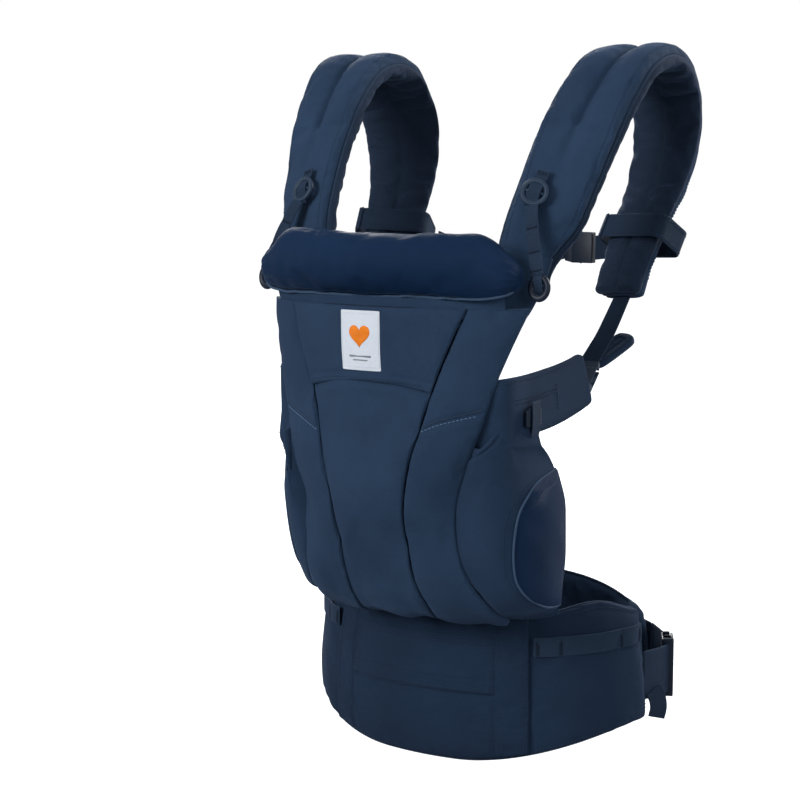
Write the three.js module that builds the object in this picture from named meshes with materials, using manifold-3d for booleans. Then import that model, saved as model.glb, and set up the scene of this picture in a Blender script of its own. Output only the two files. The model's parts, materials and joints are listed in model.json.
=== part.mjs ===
// Soft baby carrier: waist belt, body panel with a bucket seat, head support and two shoulder straps.
// Millimetres. X runs to the right of someone facing the carrier's front, -Y points out of that
// front, away from the wearer, and Z is up. Every shape is drawn about the vertical axis of the
// waist ring, and the finished group is moved so that the origin lies under the middle of the whole.

import * as THREE from 'three';
import { mergeVertices } from 'three/addons/utils/BufferGeometryUtils.js';
import Module from 'manifold-3d';

const wasm = await Module();
wasm.setup();

// ---------------------------------------------------------------- driving dimensions

const RING_SHIFT_Y = 48.5;           // from the origin to the axis of the waist ring

const BELT_HALF_WIDTH = 178;        // waist ring, to the belt's outer face
const BELT_HALF_DEPTH = 135;
const BELT_TOP = 150;
const BELT_SWELL = 12;              // the outer face stands this much further out at SWELL_HEIGHT
const SWELL_HEIGHT = 42;
const BELT_THICKNESS = 18;
const WING_END = 86;                // degrees round from the front, on both sides
const WING_END_TOP = 146;
const WING_END_BOTTOM = 34;
const WING_RISE = 8;                // the top edge stands this much higher at the hips

const LUMBAR_FROM = 132;            // degrees round from the front, past the buckle
const LUMBAR_TO = 230;
const LUMBAR_TOP = 138;
const LUMBAR_THICKNESS = 16;
const WAIST_WEBBING = 50;
const WAIST_HEIGHT = 76;            // middle of the waist webbing and its buckle

const PANEL_THICKNESS = 5;
const LAYER_GAP = 1.5;              // between one sewn layer and the next
const SEAM_GAP = 1.2;               // between two panels that meet edge to edge
const HOOD_SLIT_ROW = 0.8;          // where the upper panel starts, as a share of the panel rows

const STRAP_ROOT_WIDTH = 68;        // shoulder strap behind the head support
const STRAP_WIDTH = 82;             // over the shoulder
const STRAP_END_WIDTH = 50;
const STRAP_TURN = 17;              // degrees its face turns outward at the front, inward at the back
const STRAP_THICKNESS = 22;
const COVER_THICKNESS = 6;

const PILLOW_HALF_LENGTH = 143;
const PILLOW_HALF_HEIGHT = 34;
const PILLOW_HALF_DEPTH = 28;
const PILLOW_HEIGHT = 491;          // of its middle

const WEBBING_THICKNESS = 1.8;

// ---------------------------------------------------------------- materials

const NAVY = 0x1b2740;
const DEEP_NAVY = 0x131c33;
const SATIN_NAVY = 0x14294a;

function cloth(colour, roughness = 0.9) {
  return new THREE.MeshStandardMaterial({ color: colour, roughness, metalness: 0 });
}

const outerFabric = () => cloth(NAVY);
const innerFabric = () => cloth(DEEP_NAVY);
const satin = () => cloth(SATIN_NAVY, 0.55);
const webbingFabric = () => cloth(0x182338, 0.8);
const foam = () => cloth(0xc9c6bd, 1);
const labelFabric = () => cloth(0xe9e7e1, 0.85);
const plastic = () => cloth(0x15202f, 0.45);

// ---------------------------------------------------------------- closed solids

const V = (x, y, z) => new THREE.Vector3(x, y, z);
const radians = THREE.MathUtils.degToRad;
const mix = THREE.MathUtils.lerp;
const ease = (value, from, to) => THREE.MathUtils.smoothstep(value, from, to);

// A geometry from points and triangles, turned so that its faces point outward.
function solid(points, triangles) {
  let volume = 0;
  for (let i = 0; i < triangles.length; i += 3) {
    const [a, b, c] = triangles.slice(i, i + 3).map((index) => points[index]);
    volume += a.dot(b.clone().cross(c));
  }
  if (volume < 0) triangles.reverse();
  const geometry = new THREE.BufferGeometry().setFromPoints(points);
  geometry.setIndex(triangles);
  geometry.computeVertexNormals();
  return geometry;
}

// The solid between two faces given over the same unit square, closed round its four edges.
function slab(face, back, uCount, vCount) {
  const points = [];
  const triangles = [];
  const index = (side, i, j) => (side * (uCount + 1) + i) * (vCount + 1) + j;
  const quad = (a, b, c, d) => triangles.push(a, b, c, a, c, d);
  for (const surface of [face, back]) {
    for (let i = 0; i <= uCount; i++) {
      for (let j = 0; j <= vCount; j++) points.push(surface(i / uCount, j / vCount));
    }
  }
  for (let i = 0; i < uCount; i++) {
    for (let j = 0; j < vCount; j++) {
      quad(index(0, i, j), index(0, i + 1, j), index(0, i + 1, j + 1), index(0, i, j + 1));
      quad(index(1, i, j), index(1, i, j + 1), index(1, i + 1, j + 1), index(1, i + 1, j));
    }
    quad(index(0, i + 1, 0), index(0, i, 0), index(1, i, 0), index(1, i + 1, 0));
    quad(index(0, i, vCount), index(0, i + 1, vCount), index(1, i + 1, vCount), index(1, i, vCount));
  }
  for (let j = 0; j < vCount; j++) {
    quad(index(0, 0, j), index(0, 0, j + 1), index(1, 0, j + 1), index(1, 0, j));
    quad(index(0, uCount, j + 1), index(0, uCount, j), index(1, uCount, j), index(1, uCount, j + 1));
  }
  return solid(points, triangles);
}

// A surface moved along its own normal: outward for a positive distance.
function offset(face, distance) {
  const step = 1e-3;
  return (u, v) => {
    const across = face(Math.min(u + step, 1), v).sub(face(Math.max(u - step, 0), v));
    const along = face(u, Math.min(v + step, 1)).sub(face(u, Math.max(v - step, 0)));
    return face(u, v).addScaledVector(across.cross(along).normalize(), distance);
  };
}

// A solid of closed rings of points, capped at both ends.
function loft(rings) {
  const count = rings[0].length;
  const points = rings.flat();
  const triangles = [];
  for (let i = 0; i < rings.length - 1; i++) {
    for (let j = 0; j < count; j++) {
      const a = i * count + j;
      const b = i * count + (j + 1) % count;
      triangles.push(a, a + count, b + count, a, b + count, b);
    }
  }
  for (const [ring, first] of [[rings[0], 0], [rings.at(-1), (rings.length - 1) * count]]) {
    const middle = ring.reduce((sum, point) => sum.add(point), V(0, 0, 0)).divideScalar(count);
    points.push(middle);
    for (let j = 0; j < count; j++) {
      const pair = [first + j, first + (j + 1) % count];
      if (first > 0) pair.reverse();
      triangles.push(points.length - 1, ...pair);
    }
  }
  return solid(points, triangles);
}

// Reads a table of rows at t from 0 to 1, smoothly between its rows (Catmull-Rom, column by column).
function rowAt(rows, t) {
  const place = Math.min(Math.max(t, 0), 1) * (rows.length - 1);
  const i = Math.min(Math.floor(place), rows.length - 2);
  const f = place - i;
  return rows[i].map((b, column) => {
    const a = rows[Math.max(i - 1, 0)][column];
    const c = rows[i + 1][column];
    const d = rows[Math.min(i + 2, rows.length - 1)][column];
    return b + 0.5 * f * (c - a + f * (2 * a - 5 * b + 4 * c - d + f * (3 * (b - c) + d - a)));
  });
}

// A flat band along a curve; its width points as the width vector does.
function ribbon(points, width, acrossDirection, steps, thickness = WEBBING_THICKNESS) {
  const curve = new THREE.CatmullRomCurve3(points);
  const side = (sign) => (u, v) => {
    const tangent = curve.getTangentAt(u);
    const across = acrossDirection.clone().addScaledVector(tangent, -acrossDirection.dot(tangent));
    across.normalize();
    const normal = across.clone().cross(tangent);
    return curve.getPointAt(u)
      .addScaledVector(across, (v - 0.5) * width)
      .addScaledVector(normal, sign * thickness / 2);
  };
  return slab(side(1), side(-1), steps, 1);
}

function toSolid(geometry) {
  const bare = geometry.clone();
  bare.deleteAttribute('normal');
  bare.deleteAttribute('uv');
  const merged = mergeVertices(bare, 1e-4);
  return new wasm.Manifold(new wasm.Mesh({
    numProp: 3,
    vertProperties: new Float32Array(merged.attributes.position.array),
    triVerts: new Uint32Array(merged.index.array),
  }));
}

function fromSolid(manifold) {
  const mesh = manifold.getMesh();
  const geometry = new THREE.BufferGeometry();
  geometry.setAttribute('position', new THREE.BufferAttribute(mesh.vertProperties, 3));
  geometry.setIndex(new THREE.BufferAttribute(mesh.triVerts, 1));
  geometry.computeVertexNormals();
  return geometry;
}

function shapeOf(points) {
  return new THREE.Shape(points.map(([x, y]) => new THREE.Vector2(x, y)));
}

// A flat outline made thick: drawn in X and Z, with its thickness along Y and centred on it.
function plate(shape, thickness, curveSegments = 6) {
  const geometry = new THREE.ExtrudeGeometry(shape, { depth: thickness, bevelEnabled: false, curveSegments });
  return geometry.rotateX(Math.PI / 2).translate(0, thickness / 2, 0);
}

// ---------------------------------------------------------------- the assembly

const carrier = new THREE.Group();
carrier.name = 'baby_carrier';
carrier.position.y = RING_SHIFT_Y;

function add(name, geometry, material, placement = null) {
  const mesh = new THREE.Mesh(geometry, material);
  mesh.name = name;
  if (placement) placement.decompose(mesh.position, mesh.quaternion, mesh.scale);
  carrier.add(mesh);
  return mesh;
}

// The two sides of the carrier: the same shapes with X turned over.
const SIDES = [['right', 1], ['left', -1]];
const mirrored = (points, sign) => points.map(([x, y, z]) => V(sign * x, y, z));

// ---------------------------------------------------------------- waist belt

function beltPoint(degrees, z, inset) {
  const turn = radians(degrees);
  const swell = BELT_SWELL * (1 - ((z - SWELL_HEIGHT) / (BELT_TOP - SWELL_HEIGHT)) ** 2);
  const out = swell - inset;
  return V((BELT_HALF_WIDTH + out) * Math.sin(turn), -(BELT_HALF_DEPTH + out) * Math.cos(turn), z);
}

function beltEdges(degrees) {
  const away = Math.abs(degrees);
  const hip = BELT_TOP + WING_RISE * ease(away, 42, 62);
  return [mix(0, WING_END_BOTTOM, ease(away, 12, 85)), mix(hip, WING_END_TOP, ease(away, 64, WING_END))];
}

function lumbarEdges(degrees) {
  const middle = (LUMBAR_FROM + LUMBAR_TO) / 2;
  const away = Math.abs(degrees - middle) / (LUMBAR_TO - middle);
  return [mix(0, 34, ease(away, 0.45, 1)), mix(LUMBAR_TOP, 114, away ** 2)];
}

// One layer of the ring between two angles; margin is how far it stays inside the edges.
function ringLayer(edges, from, to, outer, inner, margin, steps) {
  const at = (inset) => (u, v) => {
    const degrees = mix(from, to, u);
    const [low, high] = edges(degrees);
    return beltPoint(degrees, mix(low + margin, high - margin, v), inset);
  };
  return slab(at(outer), at(inner), steps, 4);
}

function buildBelt() {
  const coverInner = 7;
  const paddingOuter = coverInner + LAYER_GAP;
  const cover = ringLayer(beltEdges, -WING_END, WING_END, 2.6, coverInner, 0, 20);
  add('belt_cover', cover, outerFabric());
  const padding = ringLayer(beltEdges, -WING_END + 2, WING_END - 2, paddingOuter, BELT_THICKNESS, 2, 20);
  add('belt_padding', padding, innerFabric());
  add('belt_front_panel', ringLayer(beltEdges, -36, 36, 0, 1.4, 6, 8), outerFabric());
  for (const [side, sign] of SIDES) {
    const edges = () => [108, 128];
    add(`pouch_loop_${side}`, ringLayer(edges, sign * 38, sign * 82, 0.2, 1.6, 0, 6), webbingFabric());
  }
  const pad = ringLayer(lumbarEdges, LUMBAR_FROM, LUMBAR_TO, 0, LUMBAR_THICKNESS, 0, 12);
  add('lumbar_pad', pad, outerFabric());
}

// ---------------------------------------------------------------- side-release buckles

// In a buckle's own frame X is the way the plug pulls out, Z is across the webbing, and the
// socket's mouth is at X = 0. The socket is two plates joined at its closed end, so both latch
// arms of the plug can be pinched from its open sides.
function buckleParts({ width, height, gap, depth, base }) {
  const web = 6;
  const clearance = 0.4;
  const socketShape = shapeOf([
    [-depth, -height / 2], [0, -height / 2], [0, -gap / 2], [web - depth, -gap / 2],
    [web - depth, gap / 2], [0, gap / 2], [0, height / 2], [-depth, height / 2],
  ]);
  const socket = new THREE.ExtrudeGeometry(socketShape, { depth: width, bevelEnabled: false });
  socket.translate(0, 0, -width / 2);
  const inner = gap - 2 * clearance;
  const tongue = web - depth + 2;
  const half = width / 2;
  const plug = plate(shapeOf([
    [0.6, -half], [base, -half + 2], [base, half - 2], [0.6, half],
    [0.6, 3.5], [tongue, 2.5], [tongue, -2.5], [0.6, -3.5],
  ]), inner + 0.2);
  const armFoot = half - 8;
  const armBack = half - 4.6;
  const latch = (sign) => plate(shapeOf([
    [0.2, sign * armFoot], [0.2, sign * armBack], [tongue + 10, sign * armBack],
    [tongue + 7, sign * (half + 0.8)], [tongue + 1, sign * (half - 1.5)], [tongue, sign * armFoot],
  ]), inner);
  return { socket, plug, upper: latch(1), lower: latch(-1) };
}

// Stands a buckle at its mouth, pulling out along one direction and as wide as another.
function buckleFrame(mouth, pull, across) {
  const x = pull.clone().normalize();
  const z = across.clone().addScaledVector(x, -across.dot(x)).normalize();
  const y = z.clone().cross(x);
  return new THREE.Matrix4().makeBasis(x, y, z).setPosition(mouth);
}

function addBuckle(prefix, suffix, size, placement) {
  const parts = buckleParts(size);
  add(`${prefix}_socket${suffix}`, parts.socket, plastic(), placement);
  add(`${prefix}_plug${suffix}`, parts.plug, plastic(), placement);
  add(`${prefix}_latch_a${suffix}`, parts.upper, plastic(), placement);
  add(`${prefix}_latch_b${suffix}`, parts.lower, plastic(), placement);
}

const WAIST_BUCKLE = { width: 60, height: 12, gap: 7, depth: 28, base: 12 };
const WAIST_BUCKLE_AT = 112;        // degrees round from the front, at the socket's mouth

function buildWaistBuckle() {
  const inset = -3;
  const mouth = beltPoint(WAIST_BUCKLE_AT, WAIST_HEIGHT, inset);
  const before = beltPoint(WAIST_BUCKLE_AT - 4, WAIST_HEIGHT, inset);
  const pull = beltPoint(WAIST_BUCKLE_AT + 4, WAIST_HEIGHT, inset).sub(before).normalize();
  const upward = V(0, 0, 1);
  addBuckle('waist', '', WAIST_BUCKLE, buckleFrame(mouth, pull, upward));
  const reach = (distance) => mouth.clone().addScaledVector(pull, distance);
  const along = (from, to) => [from, (from + to) / 2, to].map((turn) => beltPoint(turn, WAIST_HEIGHT, inset));
  const plugSide = [reach(WAIST_BUCKLE.base + 0.5), beltPoint(123, WAIST_HEIGHT, inset)];
  plugSide.push(beltPoint(LUMBAR_FROM - 0.6, WAIST_HEIGHT, inset));
  add('waist_webbing_right', ribbon(plugSide, WAIST_WEBBING, upward, 5), webbingFabric());
  const wingSide = [beltPoint(WING_END + 0.6, WAIST_HEIGHT, 6), beltPoint(95, WAIST_HEIGHT, 0)];
  wingSide.push(reach(-WAIST_BUCKLE.depth - 0.6));
  add('waist_webbing_front', ribbon(wingSide, WAIST_WEBBING, upward, 4), webbingFabric());
  const left = along(LUMBAR_TO + 0.6, 360 - WING_END - 0.6);
  add('waist_webbing_left', ribbon(left, WAIST_WEBBING, upward, 8), webbingFabric());
}

// ---------------------------------------------------------------- body panel and seat

// Rows of the panel from the belt up: height, front face at the middle, side edge in X and in Y,
// and the seam between the centre and side panels.
const BODY_ROWS = [
  [153, -146, 76, -131, 34],
  [152, -184, 99, -168, 35],
  [172, -207, 109, -191, 36],
  [197, -219, 98, -206, 36],
  [228, -230, 87, -208, 37],
  [266, -243, 85, -208, 40],
  [306, -244, 97, -211, 48],
  [344, -239, 110, -208, 58],
  [382, -236, 121, -202, 69],
  [418, -239, 133, -192, 83],
  [454, -240, 145, -178, 97],
];
const ROW_COUNT = BODY_ROWS.length - 1;

// The point of the panel's outer face at x millimetres from the middle on the row at v.
function bodyPoint(x, v) {
  const [z, middle, edgeX, edgeY] = rowAt(BODY_ROWS, v);
  return V(x, mix(middle, edgeY, (x / edgeX) ** 2), z);
}

const seamAt = (v) => rowAt(BODY_ROWS, v)[4];
const edgeAt = (v) => rowAt(BODY_ROWS, v)[2];

function bodyPiece(fromX, toX, fromV, toV, out, thickness, uCount) {
  const rows = Math.max(1, Math.round((toV - fromV) * ROW_COUNT));
  const face = offset((u, v) => {
    const row = mix(fromV, toV, v);
    return bodyPoint(mix(fromX(row), toX(row), u), row);
  }, out);
  return slab(face, offset(face, -thickness), uCount, rows);
}

function buildBody() {
  const seam = (v) => seamAt(v) - SEAM_GAP / 2;
  const hoodFoot = HOOD_SLIT_ROW + 0.006;
  const centre = bodyPiece((v) => -seam(v), seam, 0, HOOD_SLIT_ROW, 0, PANEL_THICKNESS, 6);
  add('body_centre_panel', centre, outerFabric());
  const upper = bodyPiece((v) => -seam(v), seam, hoodFoot, 1, 0, PANEL_THICKNESS, 6);
  add('body_upper_panel', upper, outerFabric());
  for (const [side, sign] of SIDES) {
    const nearEdge = (v) => sign * (seamAt(v) + SEAM_GAP / 2);
    const farEdge = (v) => sign * edgeAt(v);
    const [from, to] = sign > 0 ? [nearEdge, farEdge] : [farEdge, nearEdge];
    add(`body_side_${side}`, bodyPiece(from, to, 0, 1, 0, PANEL_THICKNESS, 3), outerFabric());
  }
  const lining = (v) => edgeAt(v) - 10;
  const depth = -(PANEL_THICKNESS + LAYER_GAP);
  add('body_liner', bodyPiece((v) => -lining(v), lining, 0.1, 1, depth - 0.5, 7, 12), innerFabric());
  add('label_patch', bodyPiece(() => -21, () => 21, 0.84, 0.985, 2, 0.8, 2), labelFabric());
}

// Rows of a seat side from the belt up, each four points from the panel's edge to the leg opening.
const SEAT_ROWS = [
  [79, -131, 99, -124, 117, -111, 130, -97, 160],
  [115, -184, 131, -165, 141, -138, 137, -106, 170],
  [97, -206, 126, -194, 145, -152, 141, -106, 207],
  [88, -209, 120, -203, 144, -158, 142, -108, 262],
  [99, -212, 117, -206, 136, -174, 141, -124, 300],
  [107, -211, 116, -205, 125, -190, 131, -168, 326],
];

function seatPoint(sign, u, v) {
  const row = rowAt(SEAT_ROWS, v);
  const points = [0, 2, 4, 6].map((i) => [row[i] + (i === 0 ? 1.5 : 0), row[i + 1]]);
  const [x, y] = rowAt(points, u);
  return V(sign * x, y, row[8]);
}

function seatPiece(sign, [fromU, toU], [fromV, toV], out, thickness, uCount, vCount) {
  const face = offset((u, v) => seatPoint(sign, mix(fromU, toU, u), mix(fromV, toV, v)), sign * out);
  return slab(face, offset(face, -sign * thickness), uCount, vCount);
}

const BAND_ROUTE = [[126, -192, 361], [129, -155, 362], [134, -118, 366], [139, -90, 372], [144, -66, 380]];
const BAND_WIDTH = 58;

function buildSeat() {
  for (const [side, sign] of SIDES) {
    add(`seat_side_${side}`, seatPiece(sign, [0, 1], [0, 1], 0, 4, 6, 8), outerFabric());
    add(`seat_inset_${side}`, seatPiece(sign, [0.55, 0.94], [0.22, 0.8], 3, 1, 3, 5), satin());
    const band = ribbon(mirrored(BAND_ROUTE, sign), BAND_WIDTH, V(0, 0, 1), 8, 5);
    add(`side_band_${side}`, band, outerFabric());
    const adjuster = plate(shapeOf([[-13, -9], [13, -9], [13, 6], [9, 10], [-9, 10], [-13, 6]]), 3.5);
    const placement = new THREE.Matrix4().makeRotationZ(Math.PI / 2).setPosition(sign * 136.5, -158, 352);
    add(`seat_adjuster_${side}`, adjuster, plastic(), placement);
  }
}

// ---------------------------------------------------------------- head support

// The pillow's section at x: its middle in Y, and how full it is there.
function pillowAt(x) {
  const share = Math.abs(x) / PILLOW_HALF_LENGTH;
  return [mix(-211, -196, share ** 2), Math.sqrt(1 - 0.72 * share ** 6), mix(1, 0.8, share ** 2)];
}

function pillowPoint(x, angle, inset) {
  const [y, full, depth] = pillowAt(x);
  const across = (PILLOW_HALF_DEPTH * depth - inset) * full;
  const up = (PILLOW_HALF_HEIGHT - inset) * full;
  return V(x, y - across * Math.cos(angle), PILLOW_HEIGHT + up * Math.sin(angle));
}

function buildHeadSupport() {
  const openFrom = -1.25;
  const openTurn = 5.9;
  const cover = (inset) => (u, v) => {
    const x = mix(-PILLOW_HALF_LENGTH, PILLOW_HALF_LENGTH, u);
    return pillowPoint(x, openFrom - openTurn * v, inset);
  };
  add('head_pillow_cover', slab(cover(0), cover(3), 14, 16), satin());
  const rings = [];
  const reach = PILLOW_HALF_LENGTH - 5;
  for (let i = 0; i <= 12; i++) {
    const x = mix(-reach, reach, i / 12);
    const ring = [];
    for (let j = 0; j < 12; j++) ring.push(pillowPoint(x, j / 12 * 2 * Math.PI, 6.5));
    rings.push(ring);
  }
  add('head_pillow_foam', loft(rings), foam());
  for (const [side, sign] of SIDES) {
    const slider = plate(shapeOf([[-6, -13], [6, -13], [8, -8], [8, 8], [6, 13], [-6, 13], [-8, 8], [-8, -8]]), 4);
    const placement = new THREE.Matrix4().makeRotationZ(0).setPosition(sign * 153, -180, 473);
    add(`ladder_slider_${side}`, slider, plastic(), placement);
  }
}

// ---------------------------------------------------------------- shoulder straps

// Centre line of a shoulder strap from its root behind the head support, over and down the back.
const STRAP_ROUTE = [
  [126, -150, 466], [130, -149, 500], [136, -140, 535], [142, -120, 575], [147, -97, 615],
  [152, -70, 651], [156, -35, 680], [159, 8, 691], [161, 48, 680], [162, 75, 647],
  [160, 84, 606], [155, 74, 562], [149, 50, 520], [145, 29, 485], [143, 12, 452],
];

function strapFrame(sign, s) {
  const curve = strapCurve[sign];
  const tangent = curve.getTangentAt(s);
  const turn = radians(mix(STRAP_TURN, -STRAP_TURN, ease(s, 0.1, 0.75)));
  const across = V(Math.cos(turn), sign * Math.sin(turn), 0);
  across.addScaledVector(tangent, -across.dot(tangent)).normalize();
  return { centre: curve.getPointAt(s), tangent, across, normal: across.clone().cross(tangent) };
}

const strapCurve = {
  1: new THREE.CatmullRomCurve3(mirrored(STRAP_ROUTE, 1)),
  [-1]: new THREE.CatmullRomCurve3(mirrored(STRAP_ROUTE, -1)),
};

function strapWidth(s) {
  const shoulder = mix(STRAP_ROOT_WIDTH, STRAP_WIDTH, ease(s, 0, 0.4));
  return mix(shoulder, STRAP_END_WIDTH, ease(s, 0.62, 1));
}

// A point of the strap: v across its width, side 1 on the outer face and -1 on the inner.
function strapPoint(sign, s, v, side, inset) {
  const { centre, across, normal } = strapFrame(sign, s);
  const crown = STRAP_THICKNESS / 2 * (1 - 0.42 * Math.abs(2 * v - 1) ** 3);
  return centre.addScaledVector(across, (v - 0.5) * strapWidth(s))
    .addScaledVector(normal, side * (crown - inset));
}

const RING_BUTTON_AT = 0.145;       // places along the strap, as shares of its length
const RING_BUTTON_INWARD = 12;      // from the middle of the strap towards the neck
const CHEST_LOOP_AT = 0.885;
const SHOULDER_BUCKLE = { width: 28, height: 9, gap: 5, depth: 25, base: 9 };

function buildRingButton(side, sign) {
  const outline = [[8.5, -2], [14, -2], [14, 0.6], [12.6, 2], [9.6, 2], [8.5, 0.8]];
  const profile = [...outline, outline[0]].map(([x, y]) => new THREE.Vector2(x, y));
  const ring = toSolid(new THREE.LatheGeometry(profile, 28));
  const bar = toSolid(new THREE.BoxGeometry(20, 2.4, 5));
  const button = fromSolid(ring.add(bar));
  const { centre, across, normal } = strapFrame(sign, RING_BUTTON_AT);
  const placement = new THREE.Matrix4().makeBasis(across, normal, across.clone().cross(normal));
  centre.addScaledVector(normal, STRAP_THICKNESS / 2 + 5);
  placement.setPosition(centre.addScaledVector(across, -sign * RING_BUTTON_INWARD));
  add(`ring_button_${side}`, button, plastic(), placement);
}

function buildShoulderBuckle(side, sign) {
  const mouth = V(sign * 128, -37, 384);
  const pull = V(0, 0.72, 0.69).normalize();
  addBuckle('shoulder', `_${side}`, SHOULDER_BUCKLE, buckleFrame(mouth, pull, V(1, 0, 0)));
  const start = mouth.clone().addScaledVector(pull, SHOULDER_BUCKLE.base + 2.5);
  const end = strapFrame(sign, 1);
  const stop = end.centre.clone().addScaledVector(end.tangent, 3);
  const middle = start.clone().lerp(stop, 0.5).add(V(0, 3, -2));
  add(`strap_webbing_${side}`, ribbon([start, middle, stop], 22, V(1, 0, 0), 6), webbingFabric());

  const tab = new THREE.Shape();
  tab.moveTo(0, -11).lineTo(44, -13).absarc(44, 0, 13, -Math.PI / 2, Math.PI / 2, false).lineTo(0, 11);
  const tabPull = V(sign * 0.33, 0.8, 0.47).normalize();
  const tabStart = mouth.clone().addScaledVector(pull, SHOULDER_BUCKLE.base).add(V(0, 6, -4));
  add(`strap_tab_${side}`, plate(tab, 7, 8), outerFabric(), buckleFrame(tabStart, tabPull, V(1, 0, 0)));
}

function buildShoulderStraps() {
  for (const [side, sign] of SIDES) {
    const face = (sideOfStrap, inset) => (u, v) => strapPoint(sign, u, v, sideOfStrap, inset);
    const coverBack = (u, v) => strapPoint(sign, u, v, 1, COVER_THICKNESS);
    add(`shoulder_cover_${side}`, slab(face(1, 0), coverBack, 30, 4), outerFabric());
    const padFace = (u, v) => strapPoint(sign, u, v, 1, COVER_THICKNESS + LAYER_GAP);
    add(`shoulder_pad_${side}`, slab(padFace, face(-1, 0), 30, 4), innerFabric());
    buildRingButton(side, sign);
    const ladder = mirrored([[127, -161, 541], [135, -166, 512], [151, -175, 486]], sign);
    add(`ladder_webbing_${side}`, ribbon(ladder, 13, V(1, 0, 0), 6, 1.4), webbingFabric());
    buildShoulderBuckle(side, sign);
  }
}

// ---------------------------------------------------------------- chest strap

const CHEST_BUCKLE = { width: 32, height: 9, gap: 5, depth: 24, base: 9 };
const CHEST_MOUTH = [54, 76, 497];

function buildChestStrap() {
  const wall = 2;
  const room = 6;
  for (const [side, sign] of SIDES) {
    const { centre, across, normal } = strapFrame(sign, CHEST_LOOP_AT);
    const halfWidth = strapWidth(CHEST_LOOP_AT) / 2 + room;
    const halfDepth = STRAP_THICKNESS / 2 + room;
    const frame = (grow) => [
      [-halfWidth - grow, -halfDepth - grow], [halfWidth + grow, -halfDepth - grow],
      [halfWidth + grow, halfDepth + grow], [-halfWidth - grow, halfDepth + grow],
    ];
    const shape = shapeOf(frame(wall));
    shape.holes.push(new THREE.Path(frame(0).map(([x, y]) => new THREE.Vector2(x, y))));
    const loop = new THREE.ExtrudeGeometry(shape, { depth: 26, bevelEnabled: false }).translate(0, 0, -13);
    const up = across.clone().cross(normal);
    const placement = new THREE.Matrix4().makeBasis(across, normal, up).setPosition(centre);
    add(`chest_loop_${side}`, loop, webbingFabric(), placement);
  }
  const mouth = V(...CHEST_MOUTH);
  addBuckle('chest', '', CHEST_BUCKLE, buckleFrame(mouth, V(-1, 0, 0), V(0, 0, 1)));
  const right = [V(mouth.x + CHEST_BUCKLE.depth + 2, mouth.y, mouth.z), V(110, 76, 500)];
  add('chest_webbing_right', ribbon(right, 25, V(0, 0, 1), 2), webbingFabric());
  const left = [V(mouth.x - CHEST_BUCKLE.base - 1, mouth.y, mouth.z), V(-30, 78, 492), V(-110, 76, 500)];
  add('chest_webbing_left', ribbon(left, 25, V(0, 0, 1), 8), webbingFabric());
}

buildBelt();
buildWaistBuckle();
buildBody();
buildSeat();
buildHeadSupport();
buildShoulderStraps();
buildChestStrap();

export default carrier;
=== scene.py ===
"""Soft baby carrier: the fabric, padding, trim, materials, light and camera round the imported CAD.

Lengths are millimetres about the axis of the waist ring, as the carrier's own dimensions are given,
until a mesh is made: place() turns them into metres in the row frame. X is to the right of someone
who faces the carrier's front, -Y is out of that front and Z is up.
"""

import json
import math

import bmesh
import bpy
import numpy as np
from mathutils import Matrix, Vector
from mathutils.bvhtree import BVHTree


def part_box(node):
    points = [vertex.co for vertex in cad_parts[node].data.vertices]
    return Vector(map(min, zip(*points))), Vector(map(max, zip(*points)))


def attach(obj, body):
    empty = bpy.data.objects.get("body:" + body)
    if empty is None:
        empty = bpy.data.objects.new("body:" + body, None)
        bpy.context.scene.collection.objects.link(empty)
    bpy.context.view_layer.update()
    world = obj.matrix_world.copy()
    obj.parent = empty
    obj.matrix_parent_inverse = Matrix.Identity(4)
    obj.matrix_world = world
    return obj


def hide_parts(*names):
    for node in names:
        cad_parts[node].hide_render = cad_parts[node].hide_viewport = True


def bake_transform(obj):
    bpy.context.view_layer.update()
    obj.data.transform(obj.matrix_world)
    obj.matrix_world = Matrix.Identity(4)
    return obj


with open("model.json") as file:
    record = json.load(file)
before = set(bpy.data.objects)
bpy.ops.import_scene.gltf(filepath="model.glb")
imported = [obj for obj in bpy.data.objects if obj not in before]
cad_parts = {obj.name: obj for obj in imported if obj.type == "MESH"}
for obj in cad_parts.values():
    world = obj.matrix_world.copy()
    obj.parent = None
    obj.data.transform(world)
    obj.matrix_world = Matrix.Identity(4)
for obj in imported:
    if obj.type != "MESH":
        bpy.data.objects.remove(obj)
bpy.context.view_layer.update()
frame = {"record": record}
bodies_of_nodes = frame["record"]["behaviour"]["bodies"]

# ------------------------------------------------------------------ driving dimensions

RING_SHIFT_Y = 48.5         # from the origin to the axis of the waist ring

BELT_HALF_WIDTH = 178
BELT_HALF_DEPTH = 135
BELT_TOP = 150
BELT_SWELL = 12             # the outer face stands this much further out at SWELL_HEIGHT
SWELL_HEIGHT = 42
WING_END = 86               # degrees round from the front
WAIST_HEIGHT = 76           # middle of the waist webbing
WAIST_WEBBING = 50
FRONT_PANEL = 36.5          # half angle of the belt's sewn-on front panel
POCKET_END = 26             # half angle of its pocket
POCKET_HEIGHT = 71
LUMBAR_FROM = 132
LUMBAR_TO = 230

# The body panel's rows from the belt up: height, front face at the middle, side edge in X and in Y,
# the seams between the centre and side panels, on the right and on the left, and how far the left
# edge lies inside the mirror image of the right one.
BODY_ROWS = [
    [144, -129, 76, -117, 46, 34, 0],
    [152, -184, 112, -156, 48, 34, 32],
    [172, -207, 110, -190, 47, 34, 23],
    [197, -219, 98, -206, 42, 35, 12],
    [228, -230, 87, -208, 41, 36, -2],
    [266, -243, 85, -208, 42, 40, -10],
    [306, -244, 97, -211, 48, 49, -6],
    [344, -239, 110, -208, 58, 58, 1],
    [382, -236, 121, -202, 69, 69, 0],
    [418, -239, 133, -192, 83, 83, 0],
    [454, -240, 145, -178, 97, 97, 0],
]

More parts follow.
